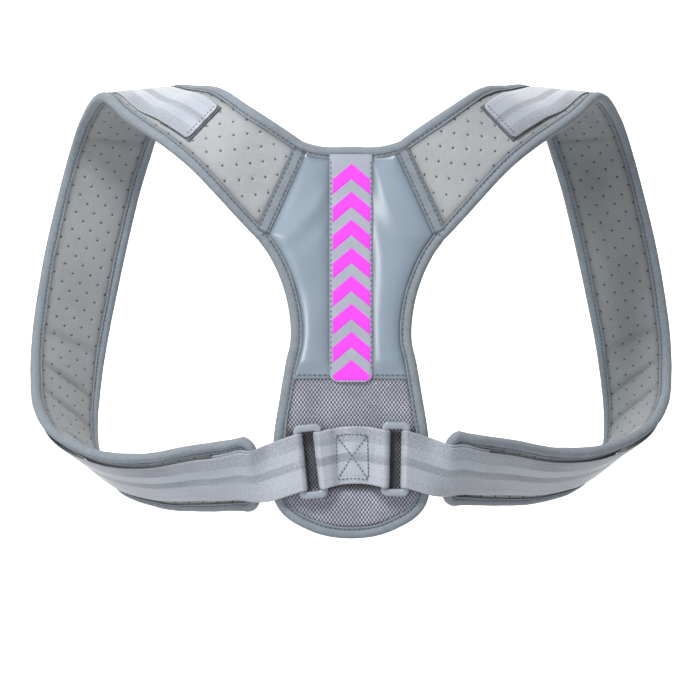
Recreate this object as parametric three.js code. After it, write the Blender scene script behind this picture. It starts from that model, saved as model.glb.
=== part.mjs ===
// Posture corrector: a cushioned back panel with two padded shoulder straps that loop round the
// arms and come back to two rings on the panel.
// Millimetres, +Z up. The wearer faces +Y, so the panel's outside faces -Y. The origin is the
// middle of the panel's inner face, which lies on the wearer's back. Each side is worked out at
// +X and mirrored for the left.

import * as THREE from 'three';

// Layers: thickness of each material and the air between two of them
const GAP = 0.3;
const PADDING = 4;
const COVER = 1;
const STRIP_FILM = 0.7;
const CHEVRON_FILM = 0.4;
const BINDING = 0.9;
const WEBBING = 1.3;
const HOOK_PATCH = 1;

// Widths of the tapes
const WEBBING_WIDTH = 38;
const BINDING_LEG = 6.2;
const PAD_MARGIN = 2.8;
const SEAM_TAPE_WIDTH = 9.5;
const SEAM_TAPE_SETBACK = 2;

// Back panel
const PANEL_HEIGHT = 257.6;
const HEM_HALF_WIDTH = 50.4;
const COVER_SEAM_DROP = 19.2;

// Strip and chevrons up the middle of the panel
const STRIP_WIDTH = 28.6;
const STRIP_OVERLAP = 2;
const STRIP_CORNER = 6;
const CHEVRON_COUNT = 8;
const CHEVRON_WIDTH = 25;
const CHEVRON_DROP = 10.6;
const CHEVRON_THICKNESS = 10.3;
const CHEVRON_SETBACK = 3.1;
const LAST_CHEVRON_HEIGHT = 14.8;

// Shoulder straps: how far they reach sideways, forwards and up, and their seam and end
const SHOULDER_REACH = 210;
const LOOP_DEPTH = 160;
const SHOULDER_RISE = 182;
const STRAP_STEP = 14;
const PAD_END_CORNER = 9;
const SEAM_GAP = 0.5;

// Webbing: its tab end on the shoulder, its slack at the underarm and its sewn return
const TAB_SETBACK = 70;
const PATCH_LENGTH = 30;
const CORNER_SLACK = 4;
const RETURN_LENGTH = 30;
const RETURN_DRIFT = 2;

// Rings, the tab that holds them and what differs between the sides: the ring's lean in
// degrees and how far above the hem the ring and the underarm end of the strap lie
const RING_BAR = 4;
const RING_DEPTH = 3.5;
const RING_END_BAR = 5;
const RING_SLOT = 11;
const RING_BEVEL = 0.8;
const RING_CORNER = 4.5;
const RING_CLEARANCE = 0.75;
const TAB_HALF_SPAN = 20.6;
const TAB_SHIFT = 1.3;
const TAB_SEWN_HALF = 10;
const TAB_ARCH = 3;
const TAB_BOW = 0.3;
const LEFT = { name: 'left', sign: -1, ringLean: 6, ringRise: 50.1, strapRise: 49 };
const RIGHT = { name: 'right', sign: 1, ringLean: 1, ringRise: 51.7, strapRise: 52.8 };

// Sizes that follow from those above
const PAD_WIDTH = WEBBING_WIDTH + 2 * (PAD_MARGIN + BINDING_LEG);
const MID_PLANE = -PADDING / 2;
const COVER_FACE = PADDING + GAP + COVER;
const LOOP_RADIUS = RING_BAR / 2 + 2 * GAP + WEBBING / 2;
const RING_OUT = COVER_FACE + GAP + WEBBING / 2 + LOOP_RADIUS;
const RING_REACH = (RING_BAR + RING_SLOT) / 2;
const RING_WINDOW = WEBBING_WIDTH + 2 * RING_CLEARANCE;

// Edge of the panel, from the middle of the neck to the strap seam
// out is a share of the hem's half width, up a share of the panel's height
const NECK_EDGE = [
  { out: 0.0, up: 0.519 },
  { out: 0.29, up: 0.518 },
  { out: 0.46, up: 0.522 },
  { out: 0.64, up: 0.532 },
];

// Edge of the panel, from the middle of the hem up the waist to the strap seam
const SIDE_EDGE = [
  { out: 0.0, up: -0.481 },
  { out: 0.357, up: -0.473 },
  { out: 0.655, up: -0.45 },
  { out: 0.833, up: -0.428 },
  { out: 0.94, up: -0.404 },
  { out: 1.0, up: -0.373 },
  { out: 1.004, up: -0.303 },
  { out: 0.988, up: -0.221 },
  { out: 0.921, up: -0.136 },
  { out: 0.861, up: -0.066 },
  { out: 0.825, up: -0.027 },
  { out: 0.773, up: 0.019 },
  { out: 0.772, up: 0.07 },
  { out: 0.822, up: 0.132 },
  { out: 0.912, up: 0.189 },
  { out: 1.052, up: 0.246 },
  { out: 1.206, up: 0.289 },
];

// Sections of a shoulder strap after its seam, up over the shoulder, down the front, under the
// arm and back to the ring.
// out: share of the way from the hem's edge to the reach; fore: share of the loop's depth
// up: share of the way from the underarm end's level to the shoulder's top
// roll, lean: direction of the arm's edge, degrees above sideways and degrees forwards
// wide: share of the pad's width
const STRAP_SECTIONS = [
  { out: 0.203, fore: 0.006, up: 0.828, roll: -50, lean: -2, wide: 0.985 },
  { out: 0.347, fore: 0.12, up: 0.9, roll: -45, lean: -14, wide: 0.97 },
  { out: 0.493, fore: 0.31, up: 0.951, roll: -28, lean: -24, wide: 1.0 },
  { out: 0.633, fore: 0.57, up: 1.0, roll: -8, lean: -26, wide: 1.0 },
  { out: 0.729, fore: 0.79, up: 0.951, roll: 0, lean: -18, wide: 1.0 },
  { out: 0.8, fore: 0.93, up: 0.862, roll: 6, lean: -8, wide: 1.0 },
  { out: 0.862, fore: 0.98, up: 0.742, roll: 4, lean: -6, wide: 1.0 },
  { out: 0.938, fore: 1.0, up: 0.544, roll: 6, lean: -15, wide: 1.0 },
  { out: 0.992, fore: 0.95, up: 0.325, roll: 6, lean: -29, wide: 1.0 },
  { out: 0.995, fore: 0.84, up: 0.201, roll: 13, lean: -38, wide: 1.0 },
  { out: 0.978, fore: 0.72, up: 0.109, roll: 22, lean: -44, wide: 1.0 },
  { out: 0.92, fore: 0.6, up: 0.032, roll: 36, lean: -53, wide: 1.0 },
  { out: 0.745, fore: 0.45, up: -0.042, roll: 62, lean: -54, wide: 1.0 },
  { out: 0.545, fore: 0.325, up: -0.062, roll: 75, lean: -48, wide: 1.0 },
  { out: 0.35, fore: 0.18, up: -0.05, roll: 82, lean: -39, wide: 1.0 },
  { out: 0.176, fore: 0.062, up: -0.036, roll: 87, lean: -31, wide: 0.96 },
  { out: 0.085, fore: 0.006, up: -0.028, roll: 90, lean: -18, wide: 0.93 },
];

// Heights of the hem, the rings and the straps' underarm ends
const HEM_LEVEL = SIDE_EDGE[0].up * PANEL_HEIGHT;
const ringLevel = (side) => HEM_LEVEL + side.ringRise;
const strapLevel = (side) => HEM_LEVEL + side.strapRise;

// Colours and finishes
const padCloth = new THREE.MeshStandardMaterial({ color: 0xb9bbbb, roughness: 0.9 });
const bindingCloth = new THREE.MeshStandardMaterial({ color: 0x93a0ab, roughness: 0.8 });
const leather = new THREE.MeshStandardMaterial({ color: 0x8fa3b4, roughness: 0.35 });
const meshCloth = new THREE.MeshStandardMaterial({ color: 0x7d7a85, roughness: 0.9 });
const satin = new THREE.MeshStandardMaterial({ color: 0xaeb4c0, roughness: 0.45 });
const reflective = new THREE.MeshStandardMaterial({ color: 0xbec3c8, roughness: 0.5 });
const pinkFilm = new THREE.MeshStandardMaterial({ color: 0xfd4cfa, roughness: 0.5 });
const ringPlastic = new THREE.MeshStandardMaterial({ color: 0x969ea5, roughness: 0.4 });
const hookCloth = new THREE.MeshStandardMaterial({ color: 0x6d7379, roughness: 0.95 });

const part = new THREE.Group();
part.name = 'posture_corrector';

function addMesh(name, geometry, material) {
  const mesh = new THREE.Mesh(geometry, material);
  mesh.name = name;
  part.add(mesh);
  return mesh;
}

const at = (x, y, z) => new THREE.Vector3(x, y, z);
const radians = THREE.MathUtils.degToRad;
const OUT_OF_BACK = at(0, -1, 0);

// Sum of a point and some directions, each given with its length
function offset(point, ...steps) {
  const moved = point.clone();
  for (const [direction, length] of steps) {
    moved.addScaledVector(direction, length);
  }
  return moved;
}

// Closed wall between two grids of points, rows along the piece and columns across it. Each
// quad is split along the diagonal that rises with the column where rising(column, row) holds.
function wallGeometry(outer, inner, rising = () => true) {
  const rows = outer.length;
  const columns = outer[0].length;
  const points = [...outer.flat(), ...inner.flat()];
  const out = (i, j) => i * columns + j;
  const back = (i, j) => rows * columns + i * columns + j;
  const triangles = [];
  const quad = (a, b, c, d, firstDiagonal = true) => {
    triangles.push(...(firstDiagonal ? [a, b, c, a, c, d] : [a, b, d, b, c, d]));
  };
  for (let i = 0; i < rows - 1; i += 1) {
    for (let j = 0; j < columns - 1; j += 1) {
      quad(out(i, j), out(i + 1, j), out(i + 1, j + 1), out(i, j + 1), rising(j, i));
      quad(back(i, j), back(i, j + 1), back(i + 1, j + 1), back(i + 1, j), rising(j, i));
    }
    const last = columns - 1;
    quad(out(i, 0), back(i, 0), back(i + 1, 0), out(i + 1, 0));
    quad(out(i, last), out(i + 1, last), back(i + 1, last), back(i, last));
  }
  for (let j = 0; j < columns - 1; j += 1) {
    const last = rows - 1;
    quad(out(0, j), out(0, j + 1), back(0, j + 1), back(0, j));
    quad(out(last, j), back(last, j), back(last, j + 1), out(last, j + 1));
  }
  return closedGeometry(points, triangles);
}

// Geometry of a closed body, wound so that its faces point outwards
function closedGeometry(points, triangles) {
  let volume = 0;
  for (let k = 0; k < triangles.length; k += 3) {
    const [a, b, c] = [0, 1, 2].map((corner) => points[triangles[k + corner]]);
    volume += a.dot(b.clone().cross(c));
  }
  const wound = volume > 0 ? triangles : triangles.slice().reverse();
  const geometry = new THREE.BufferGeometry().setFromPoints(points);
  geometry.setIndex(wound);
  geometry.computeVertexNormals();
  return geometry;
}

// Plate of an outline in the panel's plane, from the depth `near` outwards
function addPlate(name, shape, near, thickness, material) {
  const geometry = new THREE.ExtrudeGeometry(shape, {
    depth: thickness,
    bevelEnabled: false,
    curveSegments: 5,
  });
  const mesh = addMesh(name, geometry, material);
  mesh.rotation.x = Math.PI / 2;
  mesh.position.y = -near;
  return mesh;
}

// Smooth line through a table's points and their mirror images, from left to right
function smoothLine(rows, steps) {
  const knots = rows.map((row) => at(row.out * HEM_HALF_WIDTH, row.up * PANEL_HEIGHT, 0));
  const mirrored = knots.slice(1).map((knot) => at(-knot.x, knot.y, 0)).reverse();
  const curve = new THREE.CatmullRomCurve3([...mirrored, ...knots]);
  return curve.getSpacedPoints(steps).map((p) => new THREE.Vector2(p.x, p.y));
}

// The outline moved inwards with its corners kept; it runs clockwise, so inwards is right
function insetOutline(outline, distance) {
  const count = outline.length;
  const inward = outline.map((point, k) => {
    const run = outline[(k + 1) % count].clone().sub(point).normalize();
    return new THREE.Vector2(run.y, -run.x);
  });
  return outline.map((point, k) => {
    const before = inward[(k + count - 1) % count];
    const sum = before.clone().add(inward[k]);
    return point.clone().addScaledVector(sum, distance / (1 + before.dot(inward[k])));
  });
}

// The part of an outline that lies on the `inward` side of the line through `edge`
function clipOutline(outline, edge, inward) {
  const kept = [];
  const height = (p) => (p.x - edge.x) * inward.x + (p.y - edge.y) * inward.y;
  outline.forEach((point, k) => {
    const next = outline[(k + 1) % outline.length];
    const here = height(point);
    const there = height(next);
    if (here >= 0) kept.push(point.clone());
    if (here * there < 0) kept.push(point.clone().lerp(next, here / (here - there)));
  });
  return kept;
}

const mirrorOutline = (outline) => outline.map((p) => new THREE.Vector2(-p.x, p.y)).reverse();

// Panel edge: the neck from left to right, then the side and hem from right to left
const neckLine = smoothLine(NECK_EDGE, 12);
const sideLine = smoothLine(SIDE_EDGE, 44).reverse();
const panelOutline = [...neckLine, ...sideLine];
const seamTop = neckLine[neckLine.length - 1];
const seamFoot = sideLine[0];
const seamMiddle = seamTop.clone().lerp(seamFoot, 0.5);
const seamRun = seamFoot.clone().sub(seamTop).normalize();
const seamLength = seamTop.distanceTo(seamFoot);
const seamOut = new THREE.Vector2(-seamRun.y, seamRun.x);

// Frames are points with directions. This takes them to their side of the wearer.
const mirrorVector = (v) => at(-v.x, v.y, v.z);
const mirrorFrame = (frame) => Object.fromEntries(
  Object.entries(frame).map(([key, value]) => [key, value.isVector3 ? mirrorVector(value) : value]),
);
const toSide = (side, frames) => (side.sign < 0 ? frames.map(mirrorFrame) : frames);

// Length of a side's strap and the frame at each distance from its seam; the strap is flat over
// the rounded corners of its end
function strapPath(side) {
  const start = seamMiddle.clone().addScaledVector(seamOut, SEAM_GAP);
  const centre = new THREE.CatmullRomCurve3([
    at(start.x, MID_PLANE, start.y),
    ...STRAP_SECTIONS.map((row) => at(
      HEM_HALF_WIDTH + row.out * (SHOULDER_REACH - HEM_HALF_WIDTH),
      MID_PLANE + row.fore * LOOP_DEPTH,
      THREE.MathUtils.lerp(strapLevel(side), SHOULDER_RISE, row.up),
    )),
  ]);
  centre.arcLengthDivisions = 600;
  const seamRoll = THREE.MathUtils.radToDeg(Math.atan2(seamRun.y, seamRun.x));
  const atSeam = { roll: seamRoll, lean: 0, wide: seamLength / PAD_WIDTH };
  const turns = [atSeam, ...STRAP_SECTIONS].map((row) => at(row.roll, row.lean, row.wide));
  const turn = new THREE.CatmullRomCurve3(turns, false, 'catmullrom');
  const length = centre.getLength();
  const frame = (distance) => {
    const bent = Math.min(distance, length - PAD_END_CORNER);
    const t = centre.getUtoTmapping(0, bent);
    const { x: roll, y: lean, z: wide } = turn.getPoint(t);
    const level = Math.cos(radians(lean));
    const across = at(
      level * Math.cos(radians(roll)),
      Math.sin(radians(lean)),
      level * Math.sin(radians(roll)),
    );
    const normal = across.clone().cross(centre.getTangent(t)).normalize();
    const along = normal.clone().cross(across);
    const place = offset(centre.getPoint(t), [along, distance - bent]);
    return { centre: place, across, normal, along, half: wide * PAD_WIDTH / 2 };
  };
  return { frame, length };
}

// Stations shared by all layers of a strap, so that their facets run parallel
function strapStations(length) {
  const end = length - PAD_END_CORNER;
  const count = Math.round(end / STRAP_STEP);
  const even = Array.from({ length: count + 1 }, (_, k) => (k * end) / count);
  const fixed = [TAB_SETBACK, TAB_SETBACK + PATCH_LENGTH, length - RETURN_LENGTH];
  const apart = (station) => fixed.every((place) => Math.abs(station - place) > STRAP_STEP / 4);
  return [...even.filter(apart), ...fixed].sort((a, b) => a - b);
}

// Frames of the pad: its stations and the rounded corner of its end, where half is the width
// left and angle the turn of its edge
function padFramesOf(path) {
  const corner = [30, 60, 90].map((degrees) => {
    const angle = radians(degrees);
    const frame = path.frame(path.length - PAD_END_CORNER * (1 - Math.sin(angle)));
    return { ...frame, angle, half: frame.half - PAD_END_CORNER * (1 - Math.cos(angle)) };
  });
  const body = path.stations.map((distance) => ({ ...path.frame(distance), angle: 0 }));
  return [...body, ...corner];
}

function makeStrap(side) {
  const path = strapPath(side);
  path.stations = strapStations(path.length);
  path.padFrames = padFramesOf(path);
  return { ...path, side };
}

// Pad: columns run along its edges, the ends of the binding's legs and the webbing's edges
function padGeometry(strap) {
  const grid = (height) => toSide(strap.side, strap.padFrames).map((frame) => {
    const { centre, across, normal, half } = frame;
    const leg = half - BINDING_LEG;
    const web = Math.min(WEBBING_WIDTH / 2, leg - GAP);
    return [-half, -leg, -web, 0, web, leg, half].map(
      (reach) => offset(centre, [across, reach], [normal, height]),
    );
  });
  return wallGeometry(grid(PADDING / 2), grid(-PADDING / 2));
}

// Edge binding: a U of tape over an edge. A rim frame holds a point of the edge's middle, the
// direction out of the edge and the direction out of the outer face.
const BINDING_MIDDLE_COLUMN = 2;
function bindingGeometry(rim, rising) {
  const inside = PADDING / 2 + GAP;
  const bulge = 1.3 * BINDING;
  const grid = (height, nose) => {
    const profile = [
      [-BINDING_LEG, height],
      [GAP, height],
      [nose, 0],
      [GAP, -height],
      [-BINDING_LEG, -height],
    ];
    return rim.map(({ edge, outward, normal }) => profile.map(
      ([reach, rise]) => offset(edge, [outward, reach], [normal, rise]),
    ));
  };
  return wallGeometry(grid(inside + BINDING, GAP + bulge), grid(inside, GAP), rising);
}

// Rim frames of a pad's long edge: edgeSign 1 is the arm's edge, -1 the neck's
function padRim(strap, edgeSign) {
  return strap.padFrames.map(({ centre, across, normal, along, half, angle }) => {
    const outward = across.clone().multiplyScalar(edgeSign * Math.cos(angle));
    outward.addScaledVector(along, Math.sin(angle));
    return { edge: offset(centre, [across, edgeSign * half]), outward, normal };
  });
}

// Rim frames of a line in the panel's plane, outwards to the left of its run
function panelRim(line) {
  return line.map((point, k) => {
    const before = line[Math.max(k - 1, 0)];
    const after = line[Math.min(k + 1, line.length - 1)];
    const run = after.clone().sub(before).normalize();
    const outward = at(-run.y, 0, run.x);
    return { edge: at(point.x, MID_PLANE, point.y), outward, normal: OUT_OF_BACK };
  });
}

// Tape of even thickness about a list of frames; wide is a share of the width
function tapeGeometry(frames, width, thickness) {
  const grid = (height) => frames.map(({ centre, across, normal, wide = 1 }) => [-1, 0, 1].map(
    (share) => offset(centre, [across, share * wide * width / 2], [normal, height]),
  ));
  return wallGeometry(grid(thickness / 2), grid(-thickness / 2));
}

// Webbing heights above the pad's middle, in the order in which it climbs over other layers
const ON_PAD = PADDING / 2 + GAP + WEBBING / 2;
const OVER_PATCH = ON_PAD + HOOK_PATCH + GAP;
const OVER_BINDING = ON_PAD + BINDING + GAP;
const OVER_RETURN = OVER_BINDING + WEBBING + GAP;

// Course of the webbing over its pad; along is a share of the strap's length, wide a share of
// the webbing's width, which the tab end narrows
function webbingCourse(length) {
  const patchEnd = TAB_SETBACK + PATCH_LENGTH;
  const returnEnd = length - RETURN_LENGTH;
  return [
    { along: TAB_SETBACK / length, height: OVER_PATCH, wide: 0.82 },
    { along: patchEnd / length, height: OVER_PATCH, wide: 0.88 },
    { along: (patchEnd + 2 * STRAP_STEP) / length, height: ON_PAD, wide: 1 },
    { along: 0.6, height: ON_PAD, wide: 1 },
    { along: 0.71, height: ON_PAD + CORNER_SLACK, wide: 1 },
    { along: 0.82, height: OVER_BINDING, wide: 1 },
    { along: (returnEnd - STRAP_STEP) / length, height: OVER_BINDING, wide: 1 },
    { along: returnEnd / length, height: OVER_RETURN, wide: 1 },
    { along: 1, height: OVER_RETURN, wide: 1 },
  ];
}

// Height and width of the webbing at a distance from the seam, eased between the course's rows
function webbingAt(course, length, distance) {
  const along = distance / length;
  const next = Math.max(course.findIndex((row) => row.along > along), 1);
  const [a, b] = along < 1 ? [course[next - 1], course[next]] : course.slice(-2);
  const blend = THREE.MathUtils.smoothstep(along, a.along, b.along);
  return {
    height: THREE.MathUtils.lerp(a.height, b.height, blend),
    wide: THREE.MathUtils.lerp(a.wide, b.wide, blend),
  };
}

// Place of a side's ring: the middle, the run of its bars and the run of its slot
function ringPlace(side) {
  const tilt = radians(side.ringLean);
  const reach = TAB_HALF_SPAN + RING_REACH + side.sign * TAB_SHIFT;
  return {
    middle: at(reach, -RING_OUT, ringLevel(side)),
    barRun: at(Math.sin(tilt), 0, Math.cos(tilt)),
    slotRun: at(Math.cos(tilt), 0, -Math.sin(tilt)),
  };
}

// Frames of the webbing: from its tab end to the ring, round the ring's outer bar and back
function webbingFrames(strap) {
  const { frame, length, stations, side } = strap;
  const course = webbingCourse(length);
  const over = [...stations.filter((station) => station >= TAB_SETBACK), length].map((distance) => {
    const { centre, across, normal } = frame(distance);
    const { height, wide } = webbingAt(course, length, distance);
    return { centre: offset(centre, [normal, height]), across, normal, wide };
  });
  const { middle, barRun, slotRun } = ringPlace(side);
  const bar = offset(middle, [slotRun, RING_REACH]);
  const tip = frame(length).centre;
  const edgeReach = HEM_HALF_WIDTH + 3 * BINDING;
  const edgeShare = (edgeReach - bar.x) / (tip.x - bar.x);
  const edgeLevel = THREE.MathUtils.lerp(bar.z, tip.z, edgeShare);
  const bindingFace = PADDING + GAP + BINDING;
  const atPanelEdge = (layer, normal) => {
    const out = bindingFace + GAP + WEBBING / 2 + layer * (WEBBING + GAP);
    return { centre: at(edgeReach, -out, edgeLevel), across: barRun, normal };
  };
  const loop = [0, 30, 60, 90, 120, 150, 180].map((degrees) => {
    const normal = OUT_OF_BACK.clone().multiplyScalar(Math.cos(radians(degrees)));
    normal.addScaledVector(slotRun, -Math.sin(radians(degrees)));
    return { centre: offset(bar, [normal, LOOP_RADIUS]), across: barRun, normal };
  });
  const sewn = stations.filter((station) => station >= length - RETURN_LENGTH).reverse();
  const under = [length, ...sewn].map((distance) => {
    const { centre, across, normal } = frame(distance);
    const place = offset(centre, [normal, OVER_BINDING], [across, RETURN_DRIFT]);
    return { centre: place, across, normal: normal.clone().negate() };
  });
  const edgeUnder = atPanelEdge(0, OUT_OF_BACK.clone().negate());
  return toSide(side, [...over, atPanelEdge(1, OUT_OF_BACK), ...loop, edgeUnder, ...under]);
}

// Rounded rectangle about the origin
function roundedRectangle(path, width, height, corner) {
  const [x, y] = [width / 2 - corner, height / 2 - corner];
  path.moveTo(width / 2, -y);
  path.absarc(x, y, corner, 0, Math.PI / 2);
  path.absarc(-x, y, corner, Math.PI / 2, Math.PI);
  path.absarc(-x, -y, corner, Math.PI, 1.5 * Math.PI);
  path.absarc(x, -y, corner, 1.5 * Math.PI, 2 * Math.PI);
  return path;
}

// End of a strip's outline below: right corner, then left corner
function roundedFoot(shape, halfWidth, foot, corner) {
  shape.lineTo(halfWidth, foot + corner);
  shape.absarc(halfWidth - corner, foot + corner, corner, 0, -Math.PI / 2, true);
  shape.absarc(-halfWidth + corner, foot + corner, corner, -Math.PI / 2, -Math.PI, true);
}

function addBackPanel() {
  addPlate('back_panel_core', new THREE.Shape(panelOutline), 0, PADDING, padCloth);
  const near = PADDING + GAP;
  const cover = insetOutline(panelOutline, BINDING_LEG + GAP);
  const line = (x, z) => new THREE.Vector2(x, z);
  const upper = clipOutline(cover, line(0, -COVER_SEAM_DROP + GAP / 2), line(0, 1));
  const right = clipOutline(upper, line(GAP / 2, 0), line(1, 0));
  const tapeEdge = seamMiddle.clone().addScaledVector(seamOut, -SEAM_TAPE_WIDTH / 2 - GAP);
  const panel = clipOutline(right, tapeEdge, seamOut.clone().negate());
  addPlate('leather_panel_right', new THREE.Shape(panel), near, COVER, leather);
  addPlate('leather_panel_left', new THREE.Shape(mirrorOutline(panel)), near, COVER, leather);
  const lower = clipOutline(cover, line(0, -COVER_SEAM_DROP - GAP / 2), line(0, -1));
  addPlate('mesh_panel', new THREE.Shape(lower), near, COVER, meshCloth);
}

function addStrip() {
  const top = NECK_EDGE[0].up * PANEL_HEIGHT - BINDING_LEG - 2 * GAP;
  const foot = -COVER_SEAM_DROP - STRIP_OVERLAP;
  const strip = new THREE.Shape().moveTo(-STRIP_WIDTH / 2, top).lineTo(STRIP_WIDTH / 2, top);
  roundedFoot(strip, STRIP_WIDTH / 2, foot, STRIP_CORNER);
  addPlate('reflective_strip', strip, COVER_FACE + GAP, STRIP_FILM, reflective);
  const half = CHEVRON_WIDTH / 2;
  const border = (STRIP_WIDTH - CHEVRON_WIDTH) / 4;
  const near = COVER_FACE + STRIP_FILM + 2 * GAP;
  const apexRange = top - CHEVRON_SETBACK - foot - LAST_CHEVRON_HEIGHT;
  for (let k = 0; k < CHEVRON_COUNT; k += 1) {
    const apex = top - CHEVRON_SETBACK - (k * apexRange) / (CHEVRON_COUNT - 1);
    const chevron = new THREE.Shape().moveTo(-half, apex - CHEVRON_DROP);
    chevron.lineTo(0, apex);
    chevron.lineTo(half, apex - CHEVRON_DROP);
    if (k === CHEVRON_COUNT - 1) {
      roundedFoot(chevron, half, foot + border, STRIP_CORNER / 2);
    } else {
      chevron.lineTo(half, apex - CHEVRON_DROP - CHEVRON_THICKNESS);
      chevron.lineTo(0, apex - CHEVRON_THICKNESS);
      chevron.lineTo(-half, apex - CHEVRON_DROP - CHEVRON_THICKNESS);
    }
    addPlate(`chevron_${k + 1}`, chevron, near, CHEVRON_FILM, pinkFilm);
  }
}

// Tapes over the seams between panel and pads, from one binding to the other
function addSeamTapes() {
  const reach = seamLength / 2 - BINDING_LEG - SEAM_TAPE_SETBACK;
  const corner = (along, aside) => seamMiddle.clone()
    .addScaledVector(seamRun, along * reach)
    .addScaledVector(seamOut, aside * SEAM_TAPE_WIDTH / 2);
  const tape = [corner(-1, -1), corner(-1, 1), corner(1, 1), corner(1, -1)];
  const near = PADDING + GAP;
  addPlate('seam_tape_right', new THREE.Shape(tape), near, COVER, bindingCloth);
  addPlate('seam_tape_left', new THREE.Shape(mirrorOutline(tape)), near, COVER, bindingCloth);
}

// Binding of a pad's arm edge, its end corner and its end
function addArmBinding(strap) {
  const tip = strap.padFrames[strap.padFrames.length - 1];
  const acrossEnd = [0, 1 - GAP / tip.half].map((share) => ({
    edge: offset(tip.centre, [tip.across, -share * tip.half]),
    outward: tip.along,
    normal: tip.normal,
  }));
  const rim = toSide(strap.side, [...padRim(strap, 1), ...acrossEnd]);
  const rising = (column) => column < BINDING_MIDDLE_COLUMN;
  addMesh(`arm_binding_${strap.side.name}`, bindingGeometry(rim, rising), bindingCloth);
}

// Binding of both pads' neck edges and of the neck between them
function addNeckBinding(left, right) {
  const [leftRim, rightRim] = [left, right].map(
    (strap) => toSide(strap.side, padRim(strap, -1).slice(0, -1)),
  );
  const rim = [...leftRim.reverse(), ...panelRim(neckLine).slice(1, -1), ...rightRim];
  const rising = (column, row) => (column < BINDING_MIDDLE_COLUMN) === (row < leftRim.length);
  addMesh('neck_binding', bindingGeometry(rim, rising), bindingCloth);
}

// Binding of the waist and hem, whose ends meet the arm bindings along the seams
function addPanelBinding() {
  const atSeam = (sign) => ({
    edge: at(sign * (seamFoot.x - seamOut.x * GAP), MID_PLANE, seamFoot.y - seamOut.y * GAP),
    outward: at(sign * seamRun.x, 0, seamRun.y),
    normal: OUT_OF_BACK,
  });
  const rim = [atSeam(1), ...panelRim(sideLine).slice(1, -1), atSeam(-1)];
  addMesh('panel_binding', bindingGeometry(rim), bindingCloth);
}

function addHookPatch(strap) {
  const patchEnd = TAB_SETBACK + PATCH_LENGTH;
  const course = webbingCourse(strap.length);
  const frames = strap.stations
    .filter((station) => station >= TAB_SETBACK && station <= patchEnd)
    .map((distance) => {
      const { centre, across, normal } = strap.frame(distance);
      const { wide } = webbingAt(course, strap.length, distance);
      const height = PADDING / 2 + GAP + HOOK_PATCH / 2;
      return { centre: offset(centre, [normal, height]), across, normal, wide };
    });
  const geometry = tapeGeometry(toSide(strap.side, frames), WEBBING_WIDTH, HOOK_PATCH);
  addMesh(`hook_patch_${strap.side.name}`, geometry, hookCloth);
}

function addRing(side) {
  const width = RING_SLOT + 2 * RING_BAR - 2 * RING_BEVEL;
  const height = RING_WINDOW + 2 * RING_END_BAR - 2 * RING_BEVEL;
  const outline = roundedRectangle(new THREE.Shape(), width, height, RING_CORNER);
  const [slotWidth, slotHeight] = [RING_SLOT + 2 * RING_BEVEL, RING_WINDOW + 2 * RING_BEVEL];
  const slotCorner = RING_CORNER / 2;
  outline.holes.push(roundedRectangle(new THREE.Path(), slotWidth, slotHeight, slotCorner));
  const geometry = new THREE.ExtrudeGeometry(outline, {
    depth: RING_DEPTH - 2 * RING_BEVEL,
    bevelThickness: RING_BEVEL,
    bevelSize: RING_BEVEL,
    bevelSegments: 1,
    curveSegments: 3,
  });
  geometry.translate(0, 0, RING_BEVEL - RING_DEPTH / 2);
  const ring = new THREE.Mesh(geometry, ringPlastic);
  ring.name = `ring_${side.name}`;
  ring.rotation.x = Math.PI / 2;
  const { middle } = ringPlace(side);
  const holder = new THREE.Group();
  holder.position.set(side.sign * middle.x, middle.y, middle.z);
  holder.rotation.y = side.sign * radians(side.ringLean);
  holder.add(ring);
  part.add(holder);
}

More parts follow.
